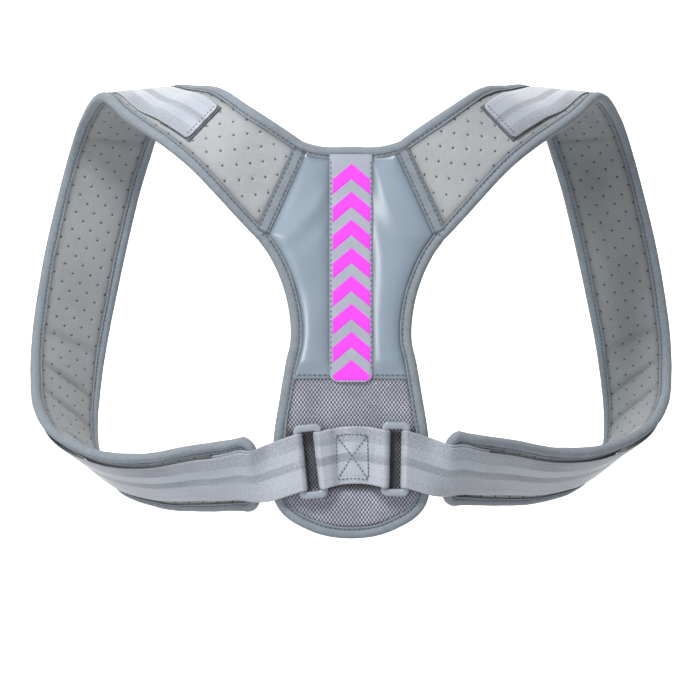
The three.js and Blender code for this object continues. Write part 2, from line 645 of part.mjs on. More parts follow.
// Tab: a flat loop of webbing round the rings' inner bars, its two layers sewn together between
// them. Its ends follow the bars, and its middle arches up and bows outwards. The outline lies
// in the plane of sideways and forwards, from the rings' middle.
function addCenterTab() {
  const outside = LOOP_RADIUS + WEBBING / 2;
  const inside = LOOP_RADIUS - WEBBING / 2;
  const sewnFront = outside - 2 * WEBBING;
  const quarter = Math.PI / 2;
  const outline = new THREE.Shape();
  outline.moveTo(0, sewnFront - TAB_BOW);
  outline.lineTo(TAB_SEWN_HALF, sewnFront);
  outline.absarc(TAB_HALF_SPAN, 0, outside, -quarter, quarter);
  outline.lineTo(TAB_SEWN_HALF, outside);
  outline.lineTo(0, outside - TAB_BOW);
  outline.lineTo(-TAB_SEWN_HALF, outside);
  outline.absarc(-TAB_HALF_SPAN, 0, outside, quarter, 3 * quarter);
  outline.lineTo(-TAB_SEWN_HALF, sewnFront);
  const sewnEnd = sewnFront + WEBBING - GAP / 2;
  const rightEye = new THREE.Path().moveTo(TAB_SEWN_HALF, sewnEnd);
  rightEye.lineTo(TAB_HALF_SPAN, -inside);
  rightEye.absarc(TAB_HALF_SPAN, 0, inside, -quarter, quarter);
  const leftEye = new THREE.Path().moveTo(-TAB_SEWN_HALF, sewnEnd);
  leftEye.lineTo(-TAB_HALF_SPAN, inside);
  leftEye.absarc(-TAB_HALF_SPAN, 0, inside, quarter, 3 * quarter);
  outline.holes.push(rightEye, leftEye);
  const geometry = new THREE.ExtrudeGeometry(outline, {
    depth: WEBBING_WIDTH,
    bevelEnabled: false,
    curveSegments: 6,
  });
  const places = geometry.attributes.position;
  const barLevel = (side) => ringLevel(side) + RING_REACH * Math.sin(radians(side.ringLean));
  for (let k = 0; k < places.count; k += 1) {
    const x = places.getX(k);
    const rise = places.getZ(k) - WEBBING_WIDTH / 2;
    const share = x / TAB_HALF_SPAN;
    const side = x < 0 ? LEFT : RIGHT;
    const leant = x + side.sign * rise * Math.tan(radians(side.ringLean)) * Math.abs(share);
    const arch = TAB_ARCH * Math.max(1 - share * share, 0);
    const level = THREE.MathUtils.mapLinear(share, -1, 1, barLevel(LEFT), barLevel(RIGHT));
    places.setXYZ(k, leant + TAB_SHIFT, places.getY(k) - RING_OUT, rise + arch + level);
  }
  geometry.computeVertexNormals();
  addMesh('center_tab', geometry, satin);
}

const leftStrap = makeStrap(LEFT);
const rightStrap = makeStrap(RIGHT);
addBackPanel();
addStrip();
addSeamTapes();
addNeckBinding(leftStrap, rightStrap);
addPanelBinding();
for (const strap of [leftStrap, rightStrap]) {
  const { name } = strap.side;
  addMesh(`shoulder_pad_${name}`, padGeometry(strap), padCloth);
  addArmBinding(strap);
  addMesh(`webbing_${name}`, tapeGeometry(webbingFrames(strap), WEBBING_WIDTH, WEBBING), satin);
  addHookPatch(strap);
  addRing(strap.side);
}
addCenterTab();

export default part;
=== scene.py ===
"""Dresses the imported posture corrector: cloth, leather, webbing, rings, seams and stage.

Lengths inside the shape functions are millimetres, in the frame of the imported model: +Z up,
+Y the way the wearer faces, the origin in the middle of the panel's inner face. Each side is
worked out at +X and mirrored for the left. In the formulas d is the distance to an edge, x
and z run sideways and upwards, and u and v along and across a strap.
"""

import math
from types import SimpleNamespace

import bpy
import numpy as np
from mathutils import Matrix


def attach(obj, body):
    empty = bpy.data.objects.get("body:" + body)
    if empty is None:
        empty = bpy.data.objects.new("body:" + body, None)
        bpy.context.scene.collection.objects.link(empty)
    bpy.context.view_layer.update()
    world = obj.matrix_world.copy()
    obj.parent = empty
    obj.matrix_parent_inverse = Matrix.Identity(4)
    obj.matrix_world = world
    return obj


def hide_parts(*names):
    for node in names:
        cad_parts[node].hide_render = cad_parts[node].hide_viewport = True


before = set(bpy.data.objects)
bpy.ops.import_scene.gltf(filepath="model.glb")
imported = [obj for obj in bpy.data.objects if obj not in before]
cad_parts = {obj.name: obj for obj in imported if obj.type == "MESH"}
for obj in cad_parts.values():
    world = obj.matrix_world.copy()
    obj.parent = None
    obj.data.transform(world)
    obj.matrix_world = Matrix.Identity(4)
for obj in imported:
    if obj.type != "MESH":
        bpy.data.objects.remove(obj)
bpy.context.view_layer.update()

bl_info = {
    "name": "Posture corrector",
    "version": (1, 0, 0),
    "blender": (4, 5, 0),
    "location": "3D View > Sidebar > Corrector",
    "description": "Makes the pads, panel, bindings, webbing and rings of a posture corrector",
    "category": "Add Mesh",
}

MM = 0.001

# Layers and tapes
GAP = 0.3
PADDING = 4.0
COVER = 1.0
STRIP_FILM = 0.7
BINDING = 0.9
WEBBING = 1.3
HOOK_PATCH = 1.0
WEBBING_WIDTH = 38.0
BINDING_LEG = 6.2
PAD_MARGIN = 2.8
SEAM_TAPE_WIDTH = 9.5

# Panel, strip and chevrons
PANEL_HEIGHT = 257.6
HEM_HALF_WIDTH = 50.4
COVER_SEAM_DROP = 19.2
STRIP_WIDTH = 28.6
STRIP_OVERLAP = 2.0
STRIP_CORNER = 6.0
CHEVRON_COUNT = 8
CHEVRON_WIDTH = 25.0
CHEVRON_DROP = 10.6
CHEVRON_THICKNESS = 10.3
CHEVRON_SETBACK = 3.1
LAST_CHEVRON_HEIGHT = 14.8

# Straps and webbing
SHOULDER_REACH = 210.0
LOOP_DEPTH = 160.0
SHOULDER_RISE = 182.0
PAD_END_CORNER = 9.0
SEAM_GAP = 0.5
STRAP_STEP = 14.0
TAB_SETBACK = 70.0
PATCH_LENGTH = 30.0
CORNER_SLACK = 4.0
RETURN_LENGTH = 30.0
RETURN_DRIFT = 2.0
TAB_CORNER = 3.6

# Rings and their tab
RING_BAR = 4.0
RING_DEPTH = 3.5
RING_END_BAR = 5.0
RING_SLOT = 11.0
RING_CORNER = 4.5
RING_CLEARANCE = 0.75
TAB_HALF_SPAN = 20.6
TAB_SHIFT = 1.3
TAB_SEWN_HALF = 10.0
TAB_ARCH = 3.0
LEFT = {"name": "left", "sign": -1, "ring_lean": 6.0, "ring_rise": 50.1, "strap_rise": 49.0}
RIGHT = {"name": "right", "sign": 1, "ring_lean": 1.0, "ring_rise": 51.7, "strap_rise": 52.8}
SIDES = (LEFT, RIGHT)

# Stitch lines' distances from the edges of leather and webbing and of the strip, and the
# lengths of stitches
STITCH_INSET = 2.6
STRIP_BORDER = 0.95
STITCH = 2.4
SHORT_STITCH = 1.9

# How far the strip reaches under the neck's binding
STRIP_TUCK = 3.0

# How far the leather and the mesh stay inside the panel's outline, and reach under the tapes
COVER_INSET = 6.0
COVER_TUCK = 4.2

# Sizes that follow from those above
PAD_WIDTH = WEBBING_WIDTH + 2 * (PAD_MARGIN + BINDING_LEG)
MID_PLANE = -PADDING / 2
COVER_FACE = PADDING + GAP + COVER
LOOP_RADIUS = RING_BAR / 2 + 2 * GAP + WEBBING / 2
RING_OUT = COVER_FACE + GAP + WEBBING / 2 + LOOP_RADIUS
RING_REACH = (RING_BAR + RING_SLOT) / 2
RING_WINDOW = WEBBING_WIDTH + 2 * RING_CLEARANCE
ON_PAD = PADDING / 2 + GAP + WEBBING / 2
OVER_PATCH = ON_PAD + HOOK_PATCH + GAP
OVER_BINDING = ON_PAD + BINDING + GAP
OVER_RETURN = OVER_BINDING + WEBBING + GAP

# Panel edge as (share of the hem's half width, share of the panel's height)
NECK_EDGE = [(0.0, 0.519), (0.29, 0.518), (0.46, 0.522), (0.64, 0.532)]
SIDE_EDGE = [
    (0.0, -0.481), (0.357, -0.473), (0.655, -0.45), (0.833, -0.428), (0.94, -0.404),
    (1.0, -0.373), (1.004, -0.303), (0.988, -0.221), (0.921, -0.136), (0.861, -0.066),
    (0.825, -0.027), (0.773, 0.019), (0.772, 0.07), (0.822, 0.132), (0.912, 0.189),
    (1.052, 0.246), (1.206, 0.289),
]
HEM_CORNER_KNOT = 4

# Sections of a strap after its seam: out, fore and up as shares of the reach, the loop's depth
# and the rise; roll and lean of the arm's edge in degrees; width as a share of the pad's
STRAP_SECTIONS = [
    (0.203, 0.006, 0.828, -50, -2, 0.985),
    (0.347, 0.12, 0.9, -45, -14, 0.97),
    (0.493, 0.31, 0.951, -28, -24, 1.0),
    (0.633, 0.57, 1.0, -8, -26, 1.0),
    (0.729, 0.79, 0.951, 0, -18, 1.0),
    (0.8, 0.93, 0.862, 6, -8, 1.0),
    (0.862, 0.98, 0.742, 4, -6, 1.0),
    (0.938, 1.0, 0.544, 6, -15, 1.0),
    (0.992, 0.95, 0.325, 6, -29, 1.0),
    (0.995, 0.84, 0.201, 13, -38, 1.0),
    (0.978, 0.72, 0.109, 22, -44, 1.0),
    (0.92, 0.6, 0.032, 36, -53, 1.0),
    (0.745, 0.45, -0.042, 62, -54, 1.0),
    (0.545, 0.325, -0.062, 75, -48, 1.0),
    (0.35, 0.18, -0.05, 82, -39, 1.0),
    (0.176, 0.062, -0.036, 87, -31, 0.96),
    (0.085, 0.006, -0.028, 90, -18, 0.93),
]
OUT_OF_BACK = np.array([0.0, -1.0, 0.0])
TANGENT_STEP = 1e-4


# ---- Sizes and colours a user would change ----


def length_property(name, description, default):
    """Length, which the sidebar shows in the scene's unit."""
    return bpy.props.FloatProperty(
        name=name, description=description, default=default, min=0.0, unit="LENGTH"
    )


def colour_property(name, description, default):
    """Colour in linear red, green and blue."""
    return bpy.props.FloatVectorProperty(
        name=name, description=description, default=default, min=0.0, max=1.0,
        size=3, subtype="COLOR",
    )


class CorrectorSizes(bpy.types.PropertyGroup):
    """Sizes of what the looks add to the frame"""

    perforation_pitch: length_property(
        "Perforation pitch", "Distance between the rows of holes in the padded cloth", 0.00672
    )
    perforation_radius: length_property(
        "Perforation radius", "Radius of a hole's dimple in the padded cloth", 0.00115
    )
    perforation_depth: length_property(
        "Perforation depth", "Depth of a hole's dimple in the padded cloth", 0.0009
    )
    pad_crown: length_property(
        "Pad crown", "How far the padding swells between its bindings", 0.0012
    )
    stitch_pitch: length_property(
        "Stitch pitch", "Distance from one stitch to the next", 0.0034
    )
    stitch_radius: length_property("Thread radius", "Half the thickness of the thread", 0.0004)
    leather_swell: length_property(
        "Leather swell", "How far the leather swells between strip and binding", 0.0026
    )
    mesh_pitch: length_property(
        "Mesh pitch", "Sideways distance between the mesh panel's openings", 0.00237
    )


class CorrectorColours(bpy.types.PropertyGroup):
    """Colours of the corrector's cloths, films and plastic"""

    pad: colour_property("Pad", "Perforated padded cloth", (0.385, 0.405, 0.42))
    binding: colour_property("Binding", "Edge tape", (0.225, 0.26, 0.295))
    leather: colour_property("Leather", "Imitation leather panels", (0.225, 0.285, 0.35))
    mesh_yarn: colour_property("Mesh yarn", "Raised yarns of the mesh panel", (0.44, 0.455, 0.54))
    mesh_ground: colour_property("Mesh ground", "Openings of the mesh panel", (0.06, 0.06, 0.08))
    webbing: colour_property("Webbing", "Light bands of the satin webbing", (0.43, 0.46, 0.52))
    webbing_band: colour_property("Webbing band", "Dark bands of the webbing", (0.25, 0.27, 0.315))
    strip: colour_property("Strip", "Reflective strip", (0.385, 0.415, 0.49))
    chevron: colour_property("Chevron", "Fluorescent chevron film", (0.93, 0.045, 0.88))
    ring: colour_property("Ring", "Plastic of the two rings", (0.29, 0.325, 0.375))
    thread: colour_property("Thread", "Stitching thread", (0.07, 0.09, 0.12))
    hook: colour_property("Hook", "Hook patches under the webbing's tab ends", (0.11, 0.12, 0.135))


def own_keys(group):
    """Names of the properties that a group declares itself."""
    return [key for key in group.bl_rna.properties.keys() if key not in ("rna_type", "name")]


def in_millimetres(sizes):
    """The sizes under their own names, in the shape functions' unit."""
    return SimpleNamespace(**{key: getattr(sizes, key) / MM for key in own_keys(sizes)})


# ---- Curves ----


def spline(knots, t, even=False):
    """Points of a Catmull-Rom curve through the knots at the parameters t from 0 to 1.

    Each cubic leaves and reaches its knots with tangents from the neighbouring chords, whose
    spans are the square roots of their lengths, or all 1 where even is true. Past its ends
    the curve is continued by mirroring the last chord.
    """
    knots = np.asarray(knots, float)
    first, last = 2 * knots[0] - knots[1], 2 * knots[-1] - knots[-2]
    padded = np.vstack([first, knots, last])
    place = np.clip(np.asarray(t, float), 0, 1) * (len(knots) - 1)
    cell = np.minimum(place.astype(int), len(knots) - 2)
    w = (place - cell)[:, None]
    p0, p1, p2, p3 = (padded[cell + k] for k in range(4))
    if even:
        m1, m2 = (p2 - p0) / 2, (p3 - p1) / 2
    else:
        d0, d1, d2 = (
            np.sqrt(np.linalg.norm(b - a, axis=1))[:, None]
            for a, b in ((p0, p1), (p1, p2), (p2, p3))
        )
        m1 = ((p1 - p0) / d0 - (p2 - p0) / (d0 + d1) + (p2 - p1) / d1) * d1
        m2 = ((p2 - p1) / d1 - (p3 - p1) / (d1 + d2) + (p3 - p2) / d2) * d1
    c2 = 3 * (p2 - p1) - 2 * m1 - m2
    c3 = 2 * (p1 - p2) + m1 + m2
    return p1 + w * (m1 + w * (c2 + w * c3))


def travelled(points):
    """Distance travelled along a line at each of its points."""
    steps = np.linalg.norm(np.diff(points, axis=0), axis=1)
    return np.concatenate([[0.0], np.cumsum(steps)])


def at_distance(distances, line_distances, values):
    """Values carried along a line, read between its points at the given distances."""
    columns = np.reshape(values, (len(values), -1)).T
    read = [np.interp(distances, line_distances, column) for column in columns]
    return np.stack(read, axis=-1).reshape(np.shape(distances) + np.shape(values)[1:])


def resampled(line, places):
    """The line at a count of even distances, or at the given shares of its length."""
    shares = np.linspace(0, 1, places) if np.isscalar(places) else places
    run = travelled(line)
    return at_distance(shares * run[-1], run, line)


def unit(vectors):
    """Vectors of the same directions and of length 1."""
    return vectors / np.linalg.norm(vectors, axis=-1, keepdims=True)


def smoothstep(x, low, high):
    """0 below low, 1 above high, and 3s^2 - 2s^3 of the share s between them."""
    s = np.clip((x - low) / (high - low), 0, 1)
    return s * s * (3 - 2 * s)


def fading(distance, width):
    """exp(-d/width) at the distance d past a line, and 1 before it."""
    return np.exp(-np.maximum(distance, 0) / width)


def bell(offset, width):
    """exp(-(offset/width)^2), a soft ridge."""
    return np.exp(-((offset / width) ** 2))


def edge_knots(rows):
    """Knots of a panel edge, mirrored about the middle, from the left to the right."""
    right = np.array(rows) * [HEM_HALF_WIDTH, PANEL_HEIGHT]
    return np.vstack([(right[1:] * [-1, 1])[::-1], right])


HEM_LEVEL = SIDE_EDGE[0][1] * PANEL_HEIGHT
NECK_LINE = spline(edge_knots(NECK_EDGE), np.linspace(0, 1, 401))
SIDE_KNOTS = edge_knots(SIDE_EDGE)
SIDE_LINE = spline(SIDE_KNOTS, np.linspace(0, 1, 1601))
SEAM_TOP = NECK_LINE[-1]
SEAM_FOOT = SIDE_LINE[-1]
SEAM_MIDDLE = (SEAM_TOP + SEAM_FOOT) / 2
SEAM_LENGTH = float(np.linalg.norm(SEAM_FOOT - SEAM_TOP))
SEAM_RUN = (SEAM_FOOT - SEAM_TOP) / SEAM_LENGTH
SEAM_OUT = np.array([-SEAM_RUN[1], SEAM_RUN[0]])


def seam_points(side, run, out):
    """Points (x, z) of a side's pad seam: its middle, run along it and out towards the pad."""
    points = SEAM_MIDDLE + run[..., None] * SEAM_RUN + out * SEAM_OUT
    return points * [side["sign"], 1]


def mirrored(side, frames):
    """Frames worked out at +X, taken to their side: every vector's x changes sign."""
    flip = np.array([side["sign"], 1.0, 1.0])
    return {
        key: value * flip if np.ndim(value) == 2 else value for key, value in frames.items()
    }


class Strap:
    """Centre line of a side's strap, with its frame at each distance from the seam."""

    def __init__(self, side):
        self.side = side
        table = np.array(STRAP_SECTIONS)
        level = HEM_LEVEL + side["strap_rise"]
        knots = np.column_stack([
            HEM_HALF_WIDTH + table[:, 0] * (SHOULDER_REACH - HEM_HALF_WIDTH),
            MID_PLANE + table[:, 1] * LOOP_DEPTH,
            level + table[:, 2] * (SHOULDER_RISE - level),
        ])
        start = SEAM_MIDDLE + SEAM_OUT * SEAM_GAP
        self.knots = np.vstack([[start[0], MID_PLANE, start[1]], knots])
        roll = math.degrees(math.atan2(SEAM_RUN[1], SEAM_RUN[0]))
        self.turns = np.vstack([[roll, 0, SEAM_LENGTH / PAD_WIDTH], table[:, 3:]])
        self.t = np.linspace(0, 1, 4001)
        self.run = travelled(spline(self.knots, self.t))
        self.length = self.run[-1]

    def frames(self, distances):
        """Centre, across, normal, along and half width at each distance from the seam.

        Across is the direction with the section's roll and lean, normal is across times the
        curve's tangent, and along is normal times across. The last stretch is flat.
        """
        distances = np.atleast_1d(np.asarray(distances, float))
        bent = np.minimum(distances, self.length - PAD_END_CORNER)
        t = np.interp(bent, self.run, self.t)
        roll, lean, wide = spline(self.turns, t, even=True).T
        roll, lean = np.radians(roll), np.radians(lean)
        across = np.column_stack([
            np.cos(lean) * np.cos(roll), np.sin(lean), np.cos(lean) * np.sin(roll)
        ])
        ahead = spline(self.knots, np.minimum(t + TANGENT_STEP, 1))
        behind = spline(self.knots, np.maximum(t - TANGENT_STEP, 0))
        normal = unit(np.cross(across, ahead - behind))
        along = np.cross(normal, across)
        centre = spline(self.knots, t) + along * (distances - bent)[:, None]
        return {
            "centre": centre, "across": across, "normal": normal, "along": along,
            "half": wide * PAD_WIDTH / 2,
        }


STRAPS = [Strap(LEFT), Strap(RIGHT)]


# ---- Surfaces and pieces ----


def grid_quads(rows, columns, start=0):
    """Quads of a grid whose points are numbered row by row from start."""
    i, j = np.meshgrid(np.arange(rows - 1), np.arange(columns - 1), indexing="ij")
    a = start + i * columns + j
    return np.stack([a, a + columns, a + columns + 1, a + 1], axis=-1).reshape(-1, 4)


def shell(front, back):
    """Closed wall between two grids of points that share their rows and columns."""
    rows, columns = front.shape[:2]
    count = rows * columns
    index = np.arange(count).reshape(rows, columns)
    loop = np.concatenate([index[:, 0], index[-1, 1:], index[-2::-1, -1], index[0, -2:0:-1]])
    after = np.roll(loop, -1)
    rim = np.column_stack([after, loop, loop + count, after + count])
    quads = np.vstack([
        grid_quads(rows, columns), grid_quads(rows, columns, count)[:, ::-1], rim
    ])
    return np.concatenate([front.reshape(-1, 3), back.reshape(-1, 3)]), quads, []


def tube(sections, ring=False):
    """Closed surface through closed sections, one row each, joined end to end for a ring."""
    rows, columns = sections.shape[:2]
    i, j = np.meshgrid(np.arange(rows if ring else rows - 1), np.arange(columns), indexing="ij")
    ahead, beside = (i + 1) % rows * columns, (j + 1) % columns
    here = i * columns
    quads = np.stack([here + j, ahead + j, ahead + beside, here + beside], -1).reshape(-1, 4)
    ends = []
    if not ring:
        first = np.arange(columns)
        ends = [first.tolist(), (first[::-1] + (rows - 1) * columns).tolist()]
    return sections.reshape(-1, 3), quads, ends


def add_piece(name, surface, slot, replaces=(), uv=None, painted_shade=None, sharp=50, finish=None):
    """Piece made from points, quads and end faces, wound so that its volume is positive.

    uv maps its points, and the shade mask, from 0 to 1, paints shade where neighbours keep the
    light out.
    Where they are given for one wall of a shell, both walls take them. The finish is the
    slot's own unless another is given.
    """
    points, quads, ends = surface
    a, b, c, d = (points[quads[:, k]] for k in range(4))
    volume = np.einsum("ij,ij->", a, np.cross(b, c)) + np.einsum("ij,ij->", a, np.cross(c, d))
    if volume < 0:
        quads = quads[:, ::-1]
        ends = [end[::-1] for end in ends]
    mesh = bpy.data.meshes.new(name)
    mesh.from_pydata((points * MM).tolist(), [], quads.tolist() + ends)
    if uv is not None:
        places = uv.reshape(-1, 2).astype(np.float32)
        corners = np.empty(len(mesh.loops), np.int32)
        mesh.loops.foreach_get("vertex_index", corners)
        layer = mesh.uv_layers.new(name="cloth")
        layer.data.foreach_set("uv", places[corners % len(places)].ravel())
    if painted_shade is not None:
        shade = np.clip(painted_shade, 0, 1).astype(np.float32)
        marks = mesh.attributes.new("painted_shade", "FLOAT", "POINT")
        marks.data.foreach_set("value", np.resize(shade, len(points)))
    mesh.materials.append((finish or FINISHES[slot])())
    mesh.shade_smooth()
    mesh.set_sharp_from_angle(angle=math.radians(sharp))
    mesh.validate()
    piece = bpy.data.objects.new(name, mesh)
    bpy.context.scene.collection.objects.link(piece)
    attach(piece, "root")
    if replaces:
        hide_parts(*replaces)
    return piece


def carried(frames, profile):
    """Profile carried along frames: centre + across * first + normal * second.

    profile holds a row of (across, normal) offsets for each frame.
    """
    return (
        frames["centre"][:, None]
        + frames["across"][:, None] * profile[..., :1]
        + frames["normal"][:, None] * profile[..., 1:]
    )


def paired(u, v):
    """Map of a grid, with u at each row and v at each column."""
    return np.stack(np.broadcast_arrays(u[:, None], v[None]), -1)


def coons(bottom, top, left, right):
    """Patch between four edges: both rulings added, less the corners' bilinear blend.

    bottom and top run from left to right, left and right run upwards. Their ends are pinned
    to shared corners first.
    """
    corners = [(bottom[0] + left[0]) / 2, (bottom[-1] + right[0]) / 2,
               (top[0] + left[-1]) / 2, (top[-1] + right[-1]) / 2]
    s = np.linspace(0, 1, len(bottom))[:, None]
    t = np.linspace(0, 1, len(left))[:, None]

    def pinned(line, share, start, end):
        """The line with its ends moved to start and end, and the rest by its share."""
        return line + (1 - share) * (start - line[0]) + share * (end - line[-1])

    bottom = pinned(bottom, s, corners[0], corners[1])
    top = pinned(top, s, corners[2], corners[3])
    left = pinned(left, t, corners[0], corners[2])
    right = pinned(right, t, corners[1], corners[3])
    s, t = s[None], t[:, None]
    ruled = (1 - t) * bottom[None] + t * top[None] + (1 - s) * left[:, None] + s * right[:, None]
    blend = (1 - s) * (1 - t) * corners[0] + s * (1 - t) * corners[1]
    return ruled - blend - (1 - s) * t * corners[2] - s * t * corners[3]


def border_distance(patch, edges="blrt"):
    """Distance of a patch's points to the nearest of its bottom, left, right or top edges."""

    def runs(grid):
        """Distance travelled down each column."""
        steps = np.linalg.norm(np.diff(grid, axis=0), axis=-1)
        return np.vstack([np.zeros(grid.shape[1]), np.cumsum(steps, axis=0)])

    down, side = runs(patch), runs(patch.swapaxes(0, 1)).T
    found = {"b": down, "t": down[-1] - down, "l": side, "r": side[:, -1:] - side}
    return np.min([found[edge] for edge in edges], axis=0)


def inset(line, distance):
    """Line moved to the left of its run by the distance, along its own normals."""
    run = unit(np.gradient(line, axis=0))
    return line + np.column_stack([-run[:, 1], run[:, 0]]) * distance


def on_back(points, depth):
    """Points (x, z) of the panel's plane, the given depth out of its inner face."""
    out = np.broadcast_to(depth, points.shape[:-1])
    return np.stack([points[..., 0], -out, points[..., 1]], -1)


def plate(patch, outer, inner):
    """Closed wall over a patch of the panel's plane, between two depths."""
    return shell(on_back(patch, outer), on_back(patch, inner))


def dimples(u, v, size):
    """Depth of the cloth's holes: (1 - r^2/R^2)^2 at r from the nearest lattice point.

    The lattice has points at every second crossing of rows and columns one pitch apart.
    """
    pitch, radius = size.perforation_pitch, size.perforation_radius
    a, b = (u + v) / (2 * pitch), (u - v) / (2 * pitch)
    da, db = a - np.round(a), b - np.round(b)
    r2 = 2 * pitch * pitch * (da * da + db * db)
    return size.perforation_depth * np.clip(1 - r2 / radius**2, 0, 1) ** 2


def hole_lines(low, high, size):
    """Grid lines from low to high, drawn together across each row of holes."""
    pitch = size.perforation_pitch
    rows = np.arange(math.floor(low / pitch), math.ceil(high / pitch) + 1) * pitch
    across = np.array([-1.0, -0.55, 0.0, 0.55, 1.0]) * size.perforation_radius
    lines = (rows[:, None] + np.append(across, pitch / 2)).ravel()
    return np.concatenate([[low], np.sort(lines[(lines > low) & (lines < high)]), [high]])


def stitch_row(line, normals, pitch, margin=0.0, run=None):
    """Places, runs and normals of stitches one pitch apart along a line, or along its run."""
    run = travelled(line) if run is None else run
    places = np.arange(margin + pitch / 2, run[-1] - margin - pitch / 4, pitch)
    ahead = at_distance(places + 0.4, run, line) - at_distance(places - 0.4, run, line)
    normals = np.broadcast_to(normals, line.shape)
    return at_distance(places, run, line), ahead, at_distance(places, run, normals)


def stitch_marks(run, pitch, start):
    """1 in the middle of each stitch of a row and 0 halfway between two: a raised cosine."""
    return 0.5 - 0.5 * np.cos(2 * np.pi * (run - start) / pitch)


def add_stitches(name, rows, size, slot, length=STITCH):
    """Rows of stitches: spindles whose six-sided sections swell and fade along each stitch."""
    radius = size.stitch_radius
    share = np.array([-0.5, -0.3, 0.3, 0.5])
    swell = np.array([0.35, 1.0, 1.0, 0.35])
    sunk = np.array([1.35, 0.15, 0.15, 1.35])
    angle = np.arange(6) * math.pi / 3
    shape = (len(share), len(angle))
    spindle = np.stack([
        np.broadcast_to(share[:, None] * length, shape),
        np.outer(swell, np.cos(angle)) * radius,
        (np.outer(swell, np.sin(angle)) - sunk[:, None]) * radius,
    ], axis=-1)
    places, runs, normals = (np.concatenate(parts) for parts in zip(*rows))
    runs = unit(runs)
    aside = unit(np.cross(normals, runs))
    axes = np.stack([runs, aside, np.cross(runs, aside)], axis=1)
    corners, quads, ends = tube(spindle)
    points = places[:, None] + np.einsum("kc,ncd->nkd", corners, axes)
    starts = np.arange(len(places))[:, None, None] * len(corners)
    quads = (quads[None] + starts).reshape(-1, 4)
    caps = (np.array(ends)[None] + starts).reshape(-1, len(angle)).tolist()
    add_piece(name, (points.reshape(-1, 3), quads, caps), slot, finish=sewing_thread)


# ---- Finishes ----


def colour(rgb, factor=1.0):
    """Opaque colour, times a factor."""
    return tuple(min(c * factor, 1.0) for c in rgb) + (1.0,)


class Finish:
    """Principled material, whose even values are set on the shader's own sockets."""

    def __init__(self, name, roughness, **sockets):
        self.material = bpy.data.materials.new(name)
        self.material.use_nodes = True
        self.tree = self.material.node_tree
        self.shader = self.tree.nodes["Principled BSDF"]
        for socket, value in {"Roughness": roughness, **sockets}.items():
            self.shader.inputs[socket.replace("_", " ")].default_value = value

    def node(self, kind, links=None, out=0, **settings):
        """Node of a kind with its settings and inputs, as the output socket asked for."""
        made = self.tree.nodes.new("ShaderNode" + kind)
        for key, value in settings.items():
            setattr(made, key, value)
        for socket, value in (links or {}).items():
            if isinstance(value, bpy.types.NodeSocket):
                self.tree.links.new(value, made.inputs[socket])
            else:
                made.inputs[socket].default_value = value
        return made.outputs[out]

    def drive(self, socket, value):
        """Links a value that varies over the piece to one of the shader's sockets."""
        self.tree.links.new(value, self.shader.inputs[socket])

    def maths(self, operation, a, b=0.0):
        """Result of an operation on two numbers."""
        return self.node("Math", {0: a, 1: b}, operation=operation)

    def scaled(self, value, factor):
        """Value times a factor."""
        return self.maths("MULTIPLY", value, factor)

    def swing(self, value, middle, factor):
        """How far the value is from its middle, times a factor."""
        return self.scaled(self.maths("SUBTRACT", value, middle), factor)

    def total(self, first, *others):
        """Sum of two or more values."""
        for other in others:
            first = self.maths("ADD", first, other)
        return first

    def vector(self, operation, a, b=(0, 0, 0), out=0):
        """Result of an operation on two vectors, or the number at output 1."""
        return self.node("VectorMath", {0: a, 1: b}, out, operation=operation)

    def mixed(self, share, low, high, blend="MIX"):
        """Colour between two colours by a share."""
        return self.node("Mix", {0: share, 6: low, 7: high}, out=2, data_type="RGBA",
                         blend_type=blend, clamp_factor=True)

    def toned(self, share, rgb, low, high):
        """Shade between two multiples of one colour by a share."""
        return self.mixed(share, colour(rgb, low), colour(rgb, high))

    def ranged(self, value, low, high, to_low=0.0, to_high=1.0):
        """Value eased from one range into another, and held at its ends."""
        return self.node("MapRange", {0: value, 1: low, 2: high, 3: to_low, 4: to_high},
                         interpolation_type="SMOOTHSTEP")

    def cloth(self, scale=(1, 1, 1), rotation=0.0):
        """The piece's own map, in millimetres along and across the cloth, scaled and turned."""
        uv = self.node("UVMap", uv_map="cloth")
        return self.node("Mapping", {0: uv, 2: (0, 0, rotation), 3: scale})

    def place(self, scale=(1, 1, 1)):
        """The object's own coordinates in metres, scaled."""
        return self.node("Mapping", {0: self.node("TexCoord", out=3), 3: scale})

    def noise(self, scale, detail=2.0, roughness=0.5, vector=None):
        """Noise from about 0.3 to 0.7, at the object's own place unless told otherwise."""
        return self.node("TexNoise", {"Vector": vector or self.place(), "Scale": scale,
                                      "Detail": detail, "Roughness": roughness})

    def cells(self, scale, **settings):
        """Distance to the nearest of scattered points."""
        return self.node("TexVoronoi", {"Vector": self.place(), "Scale": scale}, **settings)

    def waves(self, vector, axis, period):
        """Bands from 0 to 1 and back across an axis, one per period of the vector's unit."""
        return self.node("TexWave", {"Vector": vector, "Scale": math.pi / (10 * period)}, out=1,
                         wave_type="BANDS", bands_direction=axis, wave_profile="SIN")

    def weave(self, vector, period):
        """Plain weave: the higher of two crossing bands."""
        return self.maths("MAXIMUM", *(self.waves(vector, axis, period) for axis in "XY"))

    def set_colour(self, base, kept=0.4):
        """Base colour, darkened by painted shade to a share of itself where the shade attribute
        rises to 1.
        """
        painted_shade = self.node("Attribute", out=2, attribute_name="painted_shade")
        dark = self.mixed(1.0, base, (kept, kept, kept, 1.0), "MULTIPLY")
        self.drive("Base Color", self.mixed(painted_shade, base, dark))

    def set_bump(self, height, strength, distance):
        """Bump of a height from 0 to 1, the distance in metres."""
        self.drive("Normal", self.node("Bump", {
            "Strength": strength, "Distance": distance, "Height": height,
        }))


def cached(make):
    """Each finish is made once and shared by its pieces."""
    made = []

    def get():
        if not made:
            scene = bpy.context.scene
            sizes = in_millimetres(scene.corrector_sizes)
            made.append(make(sizes, scene.corrector_colours).material)
        return made[0]

    return get


